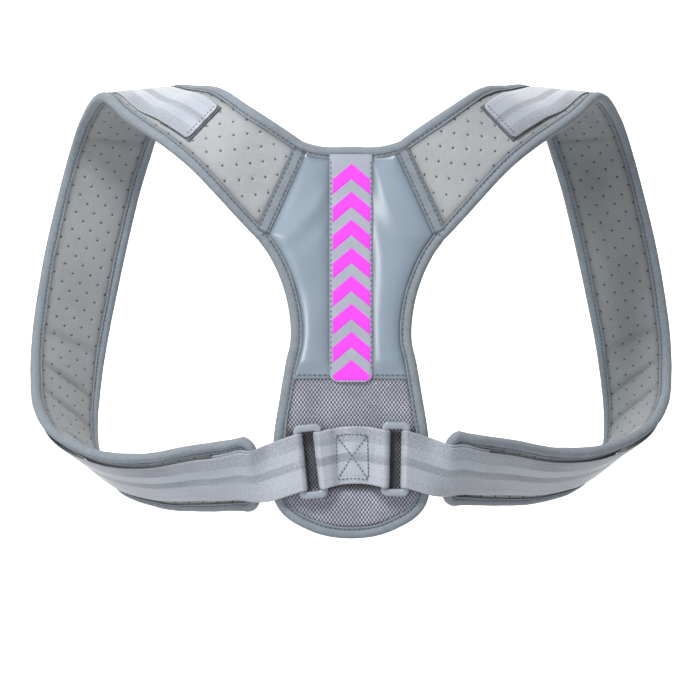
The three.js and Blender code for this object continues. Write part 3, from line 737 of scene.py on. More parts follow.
@cached
def perforated_cloth(size, shades):
    """Grey cloth with a lattice of holes darkened by painted shade, and a fine knit."""
    finish = Finish("perforated_cloth", 0.86, Sheen_Weight=0.25, Sheen_Roughness=0.5)
    pitch = size.perforation_pitch * math.sqrt(2)
    half = (0.5, 0.5, 0.5)
    cell = finish.vector("ADD", finish.cloth((1 / pitch,) * 3, math.radians(45)), half)
    centred = finish.vector("SUBTRACT", finish.vector("FRACTION", cell), half)
    reach = finish.vector("LENGTH", finish.vector("MULTIPLY", centred, (1, 1, 0)), out=1)
    radius = size.perforation_radius / pitch
    hole = finish.ranged(reach, 0.45 * radius, 0.85 * radius, 1.0, 0.0)
    blotch = finish.ranged(finish.noise(38.0, 4.0, 0.6), 0.3, 0.7)
    fibre = finish.noise(2600.0)
    grain = finish.total(finish.scaled(finish.noise(800.0, 3.0, 0.6), 0.5),
                         finish.scaled(fibre, 0.25))
    cloth = finish.mixed(grain, finish.toned(blotch, shades.pad, 0.93, 1.08),
                         colour(shades.pad, 0.7))
    # Inside each hole the cloth falls to 0.2 of its colour as painted shade.
    finish.set_colour(finish.mixed(hole, cloth, colour(shades.pad, 0.2)))
    knit = finish.weave(finish.cloth(), 0.62)
    finish.set_bump(finish.total(knit, finish.scaled(fibre, 0.6)), 0.28, 0.00012)
    return finish


@cached
def binding_tape(size, shades):
    """Edge tape with a slanted twill rib and worn lighter blotches."""
    finish = Finish("binding_tape", 0.85, Sheen_Weight=0.15)
    rib = finish.waves(finish.cloth(rotation=math.radians(35)), "X", 0.75)
    blotch = finish.ranged(finish.noise(260.0, 4.0, 0.65), 0.25, 0.75)
    finish.set_colour(finish.mixed(finish.scaled(rib, 0.35),
                                   finish.toned(blotch, shades.binding, 0.9, 1.12),
                                   colour(shades.binding, 0.6)))
    finish.set_bump(rib, 0.4, 0.00012)
    return finish


@cached
def imitation_leather(size, shades):
    """Smooth coated leather with a pebble grain and soft uneven gloss."""
    finish = Finish("imitation_leather", 0.3, Coat_Weight=0.6, Coat_Roughness=0.26)
    blotch = finish.noise(22.0, 3.0)
    finish.set_colour(finish.toned(finish.ranged(blotch, 0.25, 0.75), shades.leather, 0.95, 1.05))
    finish.drive("Roughness", finish.ranged(blotch, 0.25, 0.75, 0.27, 0.36))
    pores = finish.total(finish.cells(1500.0, feature="SMOOTH_F1"),
                         finish.scaled(finish.noise(620.0, 3.0), 1.2))
    finish.set_bump(pores, 0.22, 0.0001)
    return finish


@cached
def woven_mesh(size, shades):
    """Light yarns round staggered openings: the product of two crossing phases' cosines.

    The openings repeat every pitch sideways and every 1.4 pitches upwards, with one more in
    the middle of each such cell.
    """
    finish = Finish("woven_mesh", 0.6, Sheen_Weight=0.2)
    turn = 2 * math.pi / size.mesh_pitch
    phase = finish.cloth((turn, turn / 1.4, 1))
    side, rise = (
        finish.maths("COSINE", finish.node("SeparateXYZ", {0: phase}, out=k)) for k in (0, 1)
    )
    weave = finish.total(finish.scaled(side, rise), finish.scaled(finish.noise(700.0), 0.5))
    raised = finish.ranged(weave, -0.35, 0.85, 1.0, 0.0)
    cloud = finish.ranged(finish.noise(45.0, 3.0), 0.3, 0.7)
    yarn = finish.toned(cloud, shades.mesh_yarn, 0.85, 1.15)
    # Where painted shade falls, the mesh keeps only 0.22 of its colour.
    finish.set_colour(finish.mixed(raised, colour(shades.mesh_ground), yarn), 0.22)
    finish.set_bump(raised, 0.8, 0.0004)
    return finish


# Lightness of the webbing's bands, partly woven tone and partly painted satin sheen, as (share of
# its width, lightness)
WEBBING_BANDS = [
    (0.0, 0.75), (0.04, 0.8), (0.13, 0.75), (0.15, 0.55), (0.17, 0.8), (0.38, 0.75), (0.41, 0.3),
    (0.53, 0.25), (0.56, 0.85), (0.72, 0.8), (0.75, 0.35), (0.96, 0.3), (1.0, 0.55),
]


@cached
def satin_webbing(size, shades):
    """Satin webbing: lengthwise bands, partly woven tone and partly painted satin sheen that comes
    and goes, cross ribs, grain and long streaks, partly yarn and partly painted sheen.
    """
    finish = Finish("satin_webbing", 0.42, Sheen_Weight=0.35, Sheen_Roughness=0.4,
                    Specular_IOR_Level=0.6)
    uv = finish.cloth()
    across = finish.node("SeparateXYZ", {0: uv}, out=1)
    share = finish.total(finish.maths("DIVIDE", across, WEBBING_WIDTH), 0.5)
    bands = finish.node("ValToRGB", {0: share})
    ramp = bands.node.color_ramp
    while len(ramp.elements) < len(WEBBING_BANDS):
        ramp.elements.new(0.5)
    for element, (place, light) in zip(ramp.elements, WEBBING_BANDS):
        element.position = place
        element.color = (light, light, light, 1)
    # The long streaks are partly yarn and partly painted satin sheen; fade makes the bands'
    # painted sheen come and go along the length.
    streak = finish.noise(1.0, 4.0, 0.7, finish.cloth((0.02, 1.3, 1)))
    fleck = finish.noise(1.0, 2.0, 0.6, finish.cloth((0.55, 1.2, 1)))
    cloud = finish.noise(1.0, vector=finish.cloth((0.016, 0.05, 1)))
    fade = finish.ranged(cloud, 0.35, 0.65, 0.5, 2.2)
    lit = finish.total(finish.swing(bands, 0.6, fade), 0.66,
                       finish.swing(fleck, 0.5, 2.4), finish.swing(streak, 0.5, 0.9))
    base = finish.mixed(lit, colour(shades.webbing_band), colour(shades.webbing))
    rib = finish.waves(uv, "X", 0.9)
    finish.set_colour(finish.mixed(finish.scaled(rib, 0.16), base,
                                   colour(shades.webbing_band, 0.7)))
    finish.drive("Roughness", finish.ranged(bands, 0.1, 1.0, 0.55, 0.34))
    yarn = finish.waves(uv, "Y", 0.55)
    finish.set_bump(finish.total(rib, finish.scaled(yarn, 0.5)), 0.3, 0.00014)
    return finish


@cached
def reflective_tape(size, shades):
    """Light film with fine glass beads and a faint woven ground."""
    finish = Finish("reflective_tape", 0.42, Metallic=0.2)
    weave = finish.weave(finish.place((1000, 0, 1000)), 0.8)
    base = finish.toned(finish.noise(60.0, 3.0), shades.strip, 0.85, 1.15)
    finish.set_colour(finish.mixed(finish.scaled(weave, 0.18), base, colour(shades.strip, 0.6)))
    finish.set_bump(finish.cells(3200.0), 0.3, 0.00008)
    return finish


@cached
def chevron_film(size, shades):
    """Fluorescent film over the strip's fine weave."""
    # The faint emission is a painted glow standing in for the film's fluorescence.
    finish = Finish("chevron_film", 0.48, Emission_Color=colour(shades.chevron),
                    Emission_Strength=0.06)
    finish.set_colour(finish.toned(finish.noise(120.0, 3.0), shades.chevron, 0.88, 1.05))
    finish.set_bump(finish.noise(1900.0), 0.25, 0.0001)
    return finish


@cached
def moulded_plastic(size, shades):
    """Injection moulded plastic with a faint satin texture."""
    finish = Finish("moulded_plastic", 0.34)
    blotch = finish.noise(130.0, 3.0)
    finish.set_colour(finish.toned(blotch, shades.ring, 0.88, 1.12))
    finish.drive("Roughness", finish.ranged(blotch, 0.3, 0.7, 0.28, 0.42))
    finish.set_bump(finish.noise(2000.0), 0.12, 0.00006)
    return finish


@cached
def hook_cloth(size, shades):
    """Dark fastener cloth with rows of tiny hooks."""
    finish = Finish("hook_cloth", 0.9)
    hooks = finish.cells(900.0)
    finish.set_colour(finish.toned(hooks, shades.hook, 1.5, 0.5))
    finish.set_bump(hooks, 0.8, 0.0004)
    return finish


@cached
def sewing_thread(size, shades):
    """Twisted thread."""
    finish = Finish("thread", 0.6, Sheen_Weight=0.3)
    twist = finish.noise(3000.0)
    finish.set_colour(finish.toned(twist, shades.thread, 0.7, 1.5))
    finish.set_bump(twist, 0.4, 0.0001)
    return finish


# The finish of each of the record's material slots
FINISHES = {
    "pad_cloth": perforated_cloth, "leather": imitation_leather, "mesh_cloth": woven_mesh,
    "reflective_tape": reflective_tape, "pink_film": chevron_film, "binding_tape": binding_tape,
    "satin_webbing": satin_webbing, "hook_cloth": hook_cloth, "ring_plastic": moulded_plastic,
}


# ---- Pieces ----


class CorrectorOperator:
    """Shared ways of the operators that make pieces."""

    bl_options = {"REGISTER", "UNDO"}

    def execute(self, context):
        self.make(in_millimetres(context.scene.corrector_sizes))
        return {"FINISHED"}


class CORRECTOR_OT_back_panel(CorrectorOperator, bpy.types.Operator):
    """Make the padded core with its perforated lining, the leather panels and the mesh panel"""

    bl_idname = "corrector.back_panel"
    bl_label = "Back panel"

    def make(self, size):
        knots = len(SIDE_KNOTS) - 1
        corner = knots // 2 + HEM_CORNER_KNOT
        hem = spline(SIDE_KNOTS, np.linspace((knots - corner) / knots, corner / knots, 401))
        flank = spline(SIDE_KNOTS, np.linspace(corner / knots, 1, 801))
        self.core(size, hem, flank)
        for side in SIDES:
            self.leather(size, side, flank)
        self.mesh(hem, flank)

    def core(self, size, hem, flank):
        """Padding and lining over one patch.

        The padding's depth is 4 - 0.8 exp(-d/2). The lining stands out the other way by
        crown (1 - exp(-d/6)) - 0.9 exp(-d/2), less the holes inside the binding.
        """
        right = np.vstack([flank, SEAM_TOP])
        rows = hole_lines(0, travelled(right)[-1], size)
        columns = hole_lines(-HEM_HALF_WIDTH, HEM_HALF_WIDTH, size)
        across = (columns - columns[0]) / (columns[-1] - columns[0])
        right = resampled(right, rows / rows[-1])
        patch = coons(resampled(hem, across), resampled(NECK_LINE, across), right * [-1, 1], right)
        x, z = patch[..., 0], patch[..., 1]
        edge = border_distance(patch)
        holes = (edge > BINDING_LEG) * dimples(x, z, size)
        crown = size.pad_crown * (1 - fading(edge, 6)) - 0.9 * fading(edge, 2) - holes
        # Painted shade: darker along the inside of the bindings' legs, below the neck's binding,
        # and right at the edge along the seams.
        to_seam = (SEAM_FOOT - np.stack([np.abs(x), z], -1)) @ SEAM_OUT
        bound = smoothstep(to_seam - edge, 0.3, 2)
        rim = bound * fading(edge - BINDING_LEG, 1.4) + (1 - bound) * fading(edge, 0.8)
        neck = fading(border_distance(patch, "t") - BINDING_LEG, 1.4)
        piece = add_piece(
            "panel_padding", plate(patch, PADDING - 0.8 * fading(edge, 2), -crown), "pad_cloth",
            ["back_panel_core"], patch, np.maximum(neck, rim),
        )

    def leather(self, size, side, flank):
        """Depth: flat under the strip, swelling between it and the binding, sunk at edges.

        depth = face + swell (1 - exp(-c/6)) (1 - exp(-d/6)) h + ripple (1 - exp(-c/4))
        - 0.5 exp(-d/0.9), with c the distance from the strip, and h easing the swelling in
        above the lower seam. The ripple is 0.3 sin(z/14 + 1.3) sin(x/9 + z/31) and a fold: a
        ridge and a valley exp(-(t/5)^2) of the slanting distance t. The stitches pucker the
        edge by 0.1 sin(2 pi z/pitch) exp(-d/1.5).
        """
        rows, columns = 120, 56
        seam = -COVER_SEAM_DROP
        above = inset(flank[flank[:, 1] > seam], COVER_INSET)
        above = above[(above - SEAM_FOOT) @ SEAM_OUT < -COVER_TUCK]
        neck = inset(NECK_LINE[NECK_LINE[:, 0] > 0][::-1], COVER_INSET)[::-1]
        neck = neck[(neck - SEAM_TOP) @ SEAM_OUT < -COVER_TUCK]
        right = resampled(np.vstack([above, neck[-1:]]), rows)
        top = resampled(neck, columns)
        left = np.linspace([GAP / 2, seam], [GAP / 2, top[0, 1]], rows)
        bottom = np.linspace([GAP / 2, seam], [right[0, 0], seam], columns)
        patch = coons(bottom, top, left, right)
        x, z = patch[..., 0], patch[..., 1]
        clear = np.maximum(np.abs(x) - STRIP_WIDTH / 2, 0)
        edge, sides, hem = (border_distance(patch, edges) for edges in ("brt", "rt", "b"))
        free = (1 - fading(sides, 6)) * smoothstep(hem, 3.2, 13)
        slant = (x - 30) * 0.72 + (z - 88) * (0.62 if side["sign"] < 0 else 0.35)
        fold = (0.75 * bell(slant, 5) - 0.5 * bell(slant + 10, 5)) * smoothstep(z, 55, 95) * free
        ripple = 0.3 * np.sin(z / 14 + side["sign"] * 1.3) * np.sin(x / 9 + z / 31) + fold
        pucker = 0.1 * np.sin(2 * np.pi * z / size.stitch_pitch) * fading(edge, 1.5)
        swell = size.leather_swell * (1 - fading(clear, 6)) * free
        depth = COVER_FACE - 0.05 + swell + ripple * (1 - fading(clear, 4)) + pucker
        depth = depth - 0.5 * fading(edge, 0.9)
        # Painted shade along the leather's edges under the binding and beside the strip, at its
        # lower seam and along that seam's stitch row.
        painted_shade = fading(sides - 0.3, 1.1) + 0.8 * fading(clear, 1.1) + 0.9 * fading(hem, 0.6)
        painted_shade = painted_shade + 0.35 * bell(hem - STITCH_INSET, 0.6)
        flip = [side["sign"], 1]
        piece = add_piece(
            f"leather_{side['name']}",
            plate(patch * flip, depth, np.minimum(depth - 0.8, PADDING + 0.1)), "leather",
            [f"leather_panel_{side['name']}"], painted_shade=painted_shade,
        )
        level = seam + STITCH_INSET
        row = np.linspace([2.0, level], [right[0, 0] - 0.8, level], 60)
        row = row[row[:, 0] > STRIP_WIDTH / 2 + 0.8]
        row = stitch_row(on_back(row * flip, COVER_FACE + 0.1), OUT_OF_BACK, size.stitch_pitch)
        add_stitches(f"leather_stitches_{side['name']}", [row], size, "leather")

    def mesh(self, hem, flank):
        """Depth: face - 0.3 + 0.25 sin(x/13 + 0.6) sin(z/17) - 0.6 exp(-d/0.8).

        The weave is a finish.
        """
        count = 100
        right = resampled(inset(flank[flank[:, 1] < -COVER_SEAM_DROP + 2], COVER_INSET), count)
        bottom = resampled(inset(hem, COVER_INSET), count)
        corner = right[-1]
        patch = coons(bottom, np.linspace(corner * [-1, 1], corner, count), right * [-1, 1], right)
        x, z = patch[..., 0], patch[..., 1]
        sag = 0.25 * np.sin(x / 13 + 0.6) * np.sin(z / 17)
        depth = COVER_FACE - 0.3 + sag - 0.6 * fading(border_distance(patch), 0.8)
        # Painted shade along the mesh's bound edges and under the leather's lower edge, and a
        # painted shadow in a band behind the webbing, the rings and the tab, a little lighter
        # towards the sides.
        rim = fading(border_distance(patch, "blr") - 0.3, 1.2) + fading(-COVER_SEAM_DROP - z, 1)
        level = HEM_LEVEL + (LEFT["ring_rise"] + RIGHT["ring_rise"]) / 2
        below_webbing = 1 - smoothstep(np.abs(z - level), 17, 23)
        piece = add_piece(
            "mesh_cloth", plate(patch, depth, PADDING + 0.02), "mesh_cloth", ["mesh_panel"],
            patch, rim + below_webbing * (1 - 0.15 * smoothstep(np.abs(x), 30, 45)),
        )


class CORRECTOR_OT_chevron_strip(CorrectorOperator, bpy.types.Operator):
    """Make the reflective strip with its stitched borders and the chevrons on it"""

    bl_idname = "corrector.chevron_strip"
    bl_label = "Chevron strip"

    def make(self, size):
        top = NECK_EDGE[0][1] * PANEL_HEIGHT - BINDING_LEG - 2 * GAP + STRIP_TUCK
        foot = -COVER_SEAM_DROP - STRIP_OVERLAP
        front = COVER_FACE + GAP + STRIP_FILM
        self.strip(top, foot, front)
        ends = (top - STRIP_TUCK - 1, foot + STRIP_CORNER)
        for side in SIDES:
            x = side["sign"] * (STRIP_WIDTH / 2 - STRIP_BORDER)
            line = np.linspace(*([x, -front, z] for z in ends), 80)
            row = stitch_row(line, OUT_OF_BACK, size.stitch_pitch)
            add_stitches(f"strip_stitches_{side['name']}", [row], size, "reflective_tape",
                         SHORT_STITCH)
        self.chevrons(top - STRIP_TUCK, foot, front)

    def strip(self, top, foot, front):
        """Depth: front - 0.25 exp(-d/0.5) - 0.12 exp(-((d - 1)/0.5)^2).

        Rows are spread at the foot, where the half width follows the corner's circle.
        """
        half, corner = STRIP_WIDTH / 2, STRIP_CORNER
        low = foot + corner * (1 - np.cos(np.linspace(0, 1, 14) * np.pi / 2))
        rows = np.concatenate([low, np.linspace(low[-1], top, 90)[1:]])
        rise = np.clip(corner - (rows - foot), 0, corner)
        wide = half - corner + np.sqrt(corner**2 - rise**2)
        x = np.outer(wide, np.sin(np.linspace(-np.pi / 2, np.pi / 2, 33)))
        patch = np.stack(np.broadcast_arrays(x, rows[:, None]), -1)
        rim = half - np.abs(x)
        depth = front - 0.25 * fading(rim, 0.5) - 0.12 * bell(rim - 1, 0.5)
        # Painted shade along the strip's edge and along its stitch line.
        add_piece(
            "reflective_tape", plate(patch, depth, COVER_FACE - 0.4), "reflective_tape",
            ["reflective_strip"],
            painted_shade=0.6 * fading(rim, 0.3) + 0.35 * bell(rim - STRIP_BORDER, 0.35),
        )

    def chevrons(self, top, foot, front):
        """A chevron's point: x = s half, z = apex - |s| drop - t thickness.

        Its depth is front + 0.35 - 0.3 exp(-d/0.35).
        """
        half = CHEVRON_WIDTH / 2
        border = (STRIP_WIDTH - CHEVRON_WIDTH) / 4
        highest = top - CHEVRON_SETBACK
        spacing = (highest - foot - LAST_CHEVRON_HEIGHT) / (CHEVRON_COUNT - 1)
        s, t = np.meshgrid(np.linspace(-1, 1, 33), np.linspace(0, 1, 15))
        rim = np.minimum(np.minimum(t, 1 - t) * CHEVRON_THICKNESS, (1 - np.abs(s)) * half)
        depth = front + 0.35 - 0.3 * fading(rim, 0.35)
        for k in range(CHEVRON_COUNT):
            upper = highest - k * spacing - np.abs(s) * CHEVRON_DROP
            lower = upper - CHEVRON_THICKNESS
            if k == CHEVRON_COUNT - 1:
                corner = STRIP_CORNER / 2
                bend = np.clip(np.abs(s) * half - (half - corner), 0, corner)
                lower = foot + border + corner - np.sqrt(corner**2 - bend**2)
            patch = np.stack([s * half, upper + (lower - upper) * t], -1)
            # Painted shadow round each chevron's edge.
            add_piece(f"chevron_film_{k + 1}", plate(patch, depth, front - 0.1), "pink_film",
                      [f"chevron_{k + 1}"], painted_shade=0.4 * fading(rim, 0.3))


class CORRECTOR_OT_seam_tapes(CorrectorOperator, bpy.types.Operator):
    """Make the tapes over the seams between the panel and the shoulder pads"""

    bl_idname = "corrector.seam_tapes"
    bl_label = "Seam tapes"

    def make(self, size):
        """Depth: face + 0.3 - 0.55 |s|^10, less a groove at each stitch row and a fold.

        s is the share across from -1 to 1. The grooves exp(-((|s| - 0.62)/0.13)^2) are 0.35
        deep with a pucker of 0.1, the fold is 0.3 exp(-((s - 0.84)/0.05)^2), and the tape
        sinks by 0.6 over the last 3 mm of its length.
        """
        reach = SEAM_LENGTH / 2 - 3
        run = np.linspace(-reach, reach, 112)
        share = np.linspace(-1, 1, 29)
        t, s = run[:, None], share[None]
        half, row = SEAM_TAPE_WIDTH / 2, 0.62
        groove = bell(np.abs(s) - row, 0.13)
        fold = bell(s - 0.84, 0.05)
        pucker = np.sin(2 * np.pi * t / size.stitch_pitch)
        depth = COVER_FACE + 0.3 - 0.55 * np.abs(s) ** 10 - groove * (0.35 + 0.1 * pucker)
        depth = depth - 0.3 * fold - 0.6 * smoothstep(np.abs(t), reach - 3, reach)
        # Painted shade at the tape's edges, in its stitch grooves with most at each stitch, along
        # its fold and over its sunk ends.
        sewn = 0.2 + 0.7 * stitch_marks(t - run[0], size.stitch_pitch, run[2] - run[0])
        painted_shade = fading(half * (1 - np.abs(s)), 0.35) + sewn * groove + 0.7 * fold
        painted_shade = painted_shade + 0.8 * smoothstep(np.abs(t), reach - 3.5, reach - 2)
        for side in SIDES:
            name = side["name"]
            patch = seam_points(side, t, s[..., None] * half)
            add_piece(f"tape_{name}", plate(patch, depth, PADDING - 0.2), "binding_tape",
                      [f"seam_tape_{name}"], paired(run, share * half), painted_shade)
            rows = []
            for out in (-row * half, row * half):
                line = on_back(seam_points(side, run[2:-2], out), COVER_FACE + 0.15)
                rows.append(stitch_row(line, OUT_OF_BACK, size.stitch_pitch))
            add_stitches(f"tape_stitches_{name}", rows, size, "binding_tape")
            line = on_back(seam_points(side, run[4:-4], -2.2), -0.15)
            rows = [stitch_row(line, -OUT_OF_BACK, size.stitch_pitch)]
            add_stitches(f"lining_stitches_{name}", rows, size, "pad_cloth")


class CORRECTOR_OT_shoulder_pads(CorrectorOperator, bpy.types.Operator):
    """Make the perforated padded straps that loop round the shoulders"""

    bl_idname = "corrector.shoulder_pads"
    bl_label = "Shoulder pads"

    def make(self, size):
        for strap in STRAPS:
            self.pad(strap, size)

    def pad(self, strap, size):
        """Half thickness: half padding + crown (1 - exp(-d/5)) - 1.1 exp(-d/2.2), less holes.

        The outer face has 0.6 of that crown, and none under the webbing. The inner face loses
        the creases and a dip of 0.9 exp(-u/2) at the seam, where its crown fades too.
        """
        length, name = strap.length, strap.side["name"]
        rows = hole_lines(0, length, size)
        frames = mirrored(strap.side, strap.frames(rows))
        frames["centre"][0] -= frames["along"][0] * (SEAM_GAP - 0.1)
        past = np.maximum(rows - (length - PAD_END_CORNER), 0)
        corner = PAD_END_CORNER - np.sqrt(np.maximum(PAD_END_CORNER**2 - past**2, 0))
        half = frames["half"] - corner - IN_BINDING
        columns = hole_lines(-PAD_WIDTH / 2, PAD_WIDTH / 2, size)
        v = np.outer(half / (PAD_WIDTH / 2), columns)
        u = np.broadcast_to(rows[:, None], v.shape)
        edge = np.maximum(np.minimum(half[:, None] - np.abs(v), length - IN_BINDING - u), 0)
        swell = size.pad_crown * (1 - fading(edge, 5))
        sunk = 1.1 * fading(edge, 2.2) + (edge > BINDING_LEG - 0.5) * dimples(u, v, size)
        bare = 1 - smoothstep(u, TAB_SETBACK - 6, TAB_SETBACK + 6)
        fold = creases(u, v, length)
        outer = PADDING / 2 + 0.6 * swell * bare - sunk - 0.05
        inner = PADDING / 2 + swell * (1 - fading(u, 5)) - sunk - fold - 0.9 * fading(u, 2)
        walls = (carried(frames, np.stack([v, rise], -1)) for rise in (outer, -inner))
        # Painted shade beside the bindings and at the seam on both faces; on the inner face also
        # in the creases, a little all over, more inside the loop, and a painted shadow under the
        # shoulder's top.
        sides = fading(edge - BINDING_LEG + 0.1, 1.3)
        outer_painted_shade = sides + fading(u - (SEAM_TAPE_WIDTH - 1) / 2, 1.3)
        share = u / length
        in_loop = smoothstep(share, 0.12, 0.24) * (1 - smoothstep(share, 0.78, 0.9))
        inner_painted_shade = sides + fading(u, 0.8) + 0.3 * fold + 0.22 + 0.2 * in_loop
        inner_painted_shade = inner_painted_shade + 0.6 * bell(share - 0.205, 0.06)
        piece = add_piece(
            f"padded_strap_{name}", shell(*walls), "pad_cloth", [f"shoulder_pad_{name}"],
            np.stack([u, v], -1), np.stack([outer_painted_shade, inner_painted_shade]),
        )


# Creases across a pad's inner face: share of the length, slant, width, depth
CREASES = [
    (0.245, 0.10, 2.0, 1.5), (0.262, -0.12, 2.6, 1.0), (0.36, 0.03, 3.4, 0.9),
    (0.6, -0.35, 4.0, 0.9), (0.65, -0.55, 3.0, 1.5), (0.69, -0.6, 3.2, 1.3),
    (0.74, -0.35, 4.0, 1.0),
]


def creases(u, v, length):
    """Sum of soft valleys depth * exp(-((u - u0 - slant v)/width)^2) * (1 - (v/w)^2)."""
    fade = np.clip(1 - (v / (PAD_WIDTH / 2)) ** 2, 0, 1)
    return sum(
        depth * bell(u - place * length - slant * v, width) * fade
        for place, slant, width, depth in CREASES
    )


# Section of a binding, from its outer leg round the edge's nose: reach out of the edge, rise
# above the pad's middle
BINDING_OUTSIDE = [
    (-6.2, 2.0), (-6.4, 2.5), (-6.1, 2.95), (-5.5, 3.1), (-4.9, 2.85), (-4.5, 2.6),
    (-4.1, 2.8), (-3.3, 3.2), (-2.1, 3.4), (-0.8, 3.3), (0.45, 2.8), (1.25, 1.85), (1.6, 0.8),
]
BINDING_INSIDE = [(0.35, 0.0), (0.3, 1.2), (0.05, 1.75), (-1.5, 1.95), (-4.5, 2.05)]
BINDING_NOSE = (1.65, 0.0)

# How far the pad stays inside its rim, the step of the rims, and the stitch line's reach,
# rise and start
IN_BINDING = 0.4
RIM_STEP = 1.1
STITCH_REACH = -4.5
STITCH_RISE = 2.85
STITCH_START = 3


def binding_profile():
    """Closed section: the outside from leg to leg, then the inside back again."""
    outside = np.array(BINDING_OUTSIDE)
    over = spline(np.vstack([outside, BINDING_NOSE, (outside * [1, -1])[::-1]]),
                  np.linspace(0, 1, 37))
    inside = np.array(BINDING_INSIDE)
    return np.vstack([over, (inside * [1, -1])[:0:-1], inside])


def rim_of_pad(strap, edge_sign, corner_end=90.0):
    """Rim frames along a pad's long edge and round its end corner.

    Round the corner the edge's direction turns by an angle a: outward = across cos a + along
    sin a, while the half width falls by corner (1 - cos a).
    """
    end = strap.length - PAD_END_CORNER
    body = np.linspace(0, end, int(end / RIM_STEP))
    angle = np.radians(np.linspace(0, corner_end, 14)[1:])
    distances = np.concatenate([body, end + PAD_END_CORNER * np.sin(angle)])
    angle = np.concatenate([np.zeros(len(body)), angle])[:, None]
    frames = strap.frames(distances)
    frames["centre"][0] -= frames["along"][0] * 1.4
    half = frames["half"][:, None] - PAD_END_CORNER * (1 - np.cos(angle))
    outward = frames["across"] * edge_sign * np.cos(angle) + frames["along"] * np.sin(angle)
    return mirrored(strap.side, {
        "centre": frames["centre"] + frames["across"] * edge_sign * half,
        "across": outward, "normal": frames["normal"],
    })


def rim_of_panel(line):
    """Rim frames of a line in the panel's plane, outwards to the left of its run."""
    run = unit(np.gradient(line, axis=0))
    flat = np.zeros(len(line))
    return {
        "centre": np.column_stack([line[:, 0], flat + MID_PLANE, line[:, 1]]),
        "across": np.column_stack([-run[:, 1], flat, run[:, 0]]),
        "normal": np.broadcast_to(OUT_OF_BACK, (len(line), 3)),
    }


def linked(*parts):
    """Rim frames one after the other; each part is (frames, whether it runs backwards)."""
    return {
        key: np.concatenate([frames[key][::-1] if back else frames[key] for frames, back in parts])
        for key in ("centre", "across", "normal")
    }


class CORRECTOR_OT_bindings(CorrectorOperator, bpy.types.Operator):
    """Make the edge tapes round the pads, neck, waist and hem, with their stitches"""

    bl_idname = "corrector.bindings"
    bl_label = "Bindings"

    def make(self, size):
        left, right = (rim_of_pad(strap, -1, corner_end=86.0) for strap in STRAPS)
        neck = rim_of_panel(resampled(NECK_LINE, 70)[1:-1])
        self.binding(size, "neck", "neck_binding",
                     linked((left, True), (neck, False), (right, False)))
        for strap in STRAPS:
            name = strap.side["name"]
            self.binding(size, f"arm_{name}", f"arm_binding_{name}", self.arm_rim(strap))
        waist = rim_of_panel(resampled(SIDE_LINE[::-1], 420))
        self.binding(size, "panel", "panel_binding", waist)

    def arm_rim(self, strap):
        """Rim along a pad's arm edge, round its corner and across its end."""
        tip = mirrored(strap.side, strap.frames(strap.length))
        half = tip["half"][0] - PAD_END_CORNER
        share = np.linspace(1, -1, int(2 * half))[1:, None]
        end = {
            "centre": tip["centre"] + tip["across"] * half * share,
            "across": np.repeat(tip["along"], len(share), 0),
            "normal": np.repeat(tip["normal"], len(share), 0),
        }
        return linked((rim_of_pad(strap, 1), False), (end, False))

    def binding(self, size, name, replaced, rim):
        """The section carried along the rim, puckered by each stitch of its stitch line.

        t along the rim, a leg rises by (0.1 - 0.28 mark) exp(-((reach + 4.5)/1.3)^2)
        + 0.12 sin(t/7.1 + 2) + 0.08 sin(t/2.9), and reaches 0.2 sin(t/11)
        + 0.12 sin(t/4.3 + 1) further in.
        """
        profile = binding_profile()
        reach, face = profile[:, 0], np.sign(profile[:, 1])
        run = travelled(rim["centre"])
        mark = stitch_marks(run, size.stitch_pitch, STITCH_START)
        pucker = np.outer(0.1 - 0.28 * mark, bell(reach - STITCH_REACH, 1.3))
        slack = 0.12 * np.sin(run / 7.1 + 2) + 0.08 * np.sin(run / 2.9)
        drift = 0.2 * np.sin(run / 11.0) + 0.12 * np.sin(run / 4.3 + 1)
        section = np.repeat(profile[None], len(run), 0)
        section[..., 0] += np.outer(drift, smoothstep(-reach, 3, 6))
        section[..., 1] += (pucker + slack[:, None]) * face
        # Painted shade along the binding's stitch line, most at each stitch, and at the ends of
        # its legs where they meet the pad.
        sewn = np.outer(0.25 + 0.65 * mark, bell(reach - STITCH_REACH, 0.55))
        add_piece(f"{name}_edge_tape", tube(carried(rim, section)), "binding_tape", [replaced],
                  paired(run, travelled(profile)), smoothstep(-reach, 6.1, 6.4) + sewn)
        rows = []
        for normal in (rim["normal"], -rim["normal"]):
            line = rim["centre"] + rim["across"] * STITCH_REACH + normal * STITCH_RISE
            rows.append(stitch_row(line, normal, size.stitch_pitch, STITCH_START, run))
        add_stitches(f"{name}_edge_stitches", rows, size, "binding_tape")


def webbing_course(length):
    """Rows of distance, height above the pad's middle and width share of the webbing."""
    patch_end = TAB_SETBACK + PATCH_LENGTH
    return np.array([
        (TAB_SETBACK, OVER_PATCH, 0.82), (patch_end, OVER_PATCH, 0.88),
        (patch_end + 2 * STRAP_STEP, ON_PAD, 1), (0.6 * length, ON_PAD, 1),
        (0.71 * length, ON_PAD + CORNER_SLACK, 1), (0.82 * length, OVER_BINDING, 1),
        (length - RETURN_LENGTH - STRAP_STEP, OVER_BINDING, 1),
        (length - RETURN_LENGTH, OVER_RETURN, 1), (length, OVER_RETURN, 1),
    ])


def eased(course, distances):
    """Height and width between the course's rows, eased by 3s^2 - 2s^3."""
    row = np.clip(np.searchsorted(course[:, 0], distances, "right") - 1, 0, len(course) - 2)
    low, high = course[row], course[row + 1]
    s = smoothstep(distances, low[:, 0], high[:, 0])[:, None]
    return (low + (high - low) * s)[:, 1:].T


def ring_place(side):
    """Middle of a side's ring, the run of its bars and the run of its slot, at +X."""
    tilt = math.radians(side["ring_lean"])
    middle = np.array([TAB_HALF_SPAN + RING_REACH + side["sign"] * TAB_SHIFT, -RING_OUT,
                       HEM_LEVEL + side["ring_rise"]])
    return (middle, np.array([math.sin(tilt), 0, math.cos(tilt)]),
            np.array([math.cos(tilt), 0, -math.sin(tilt)]))


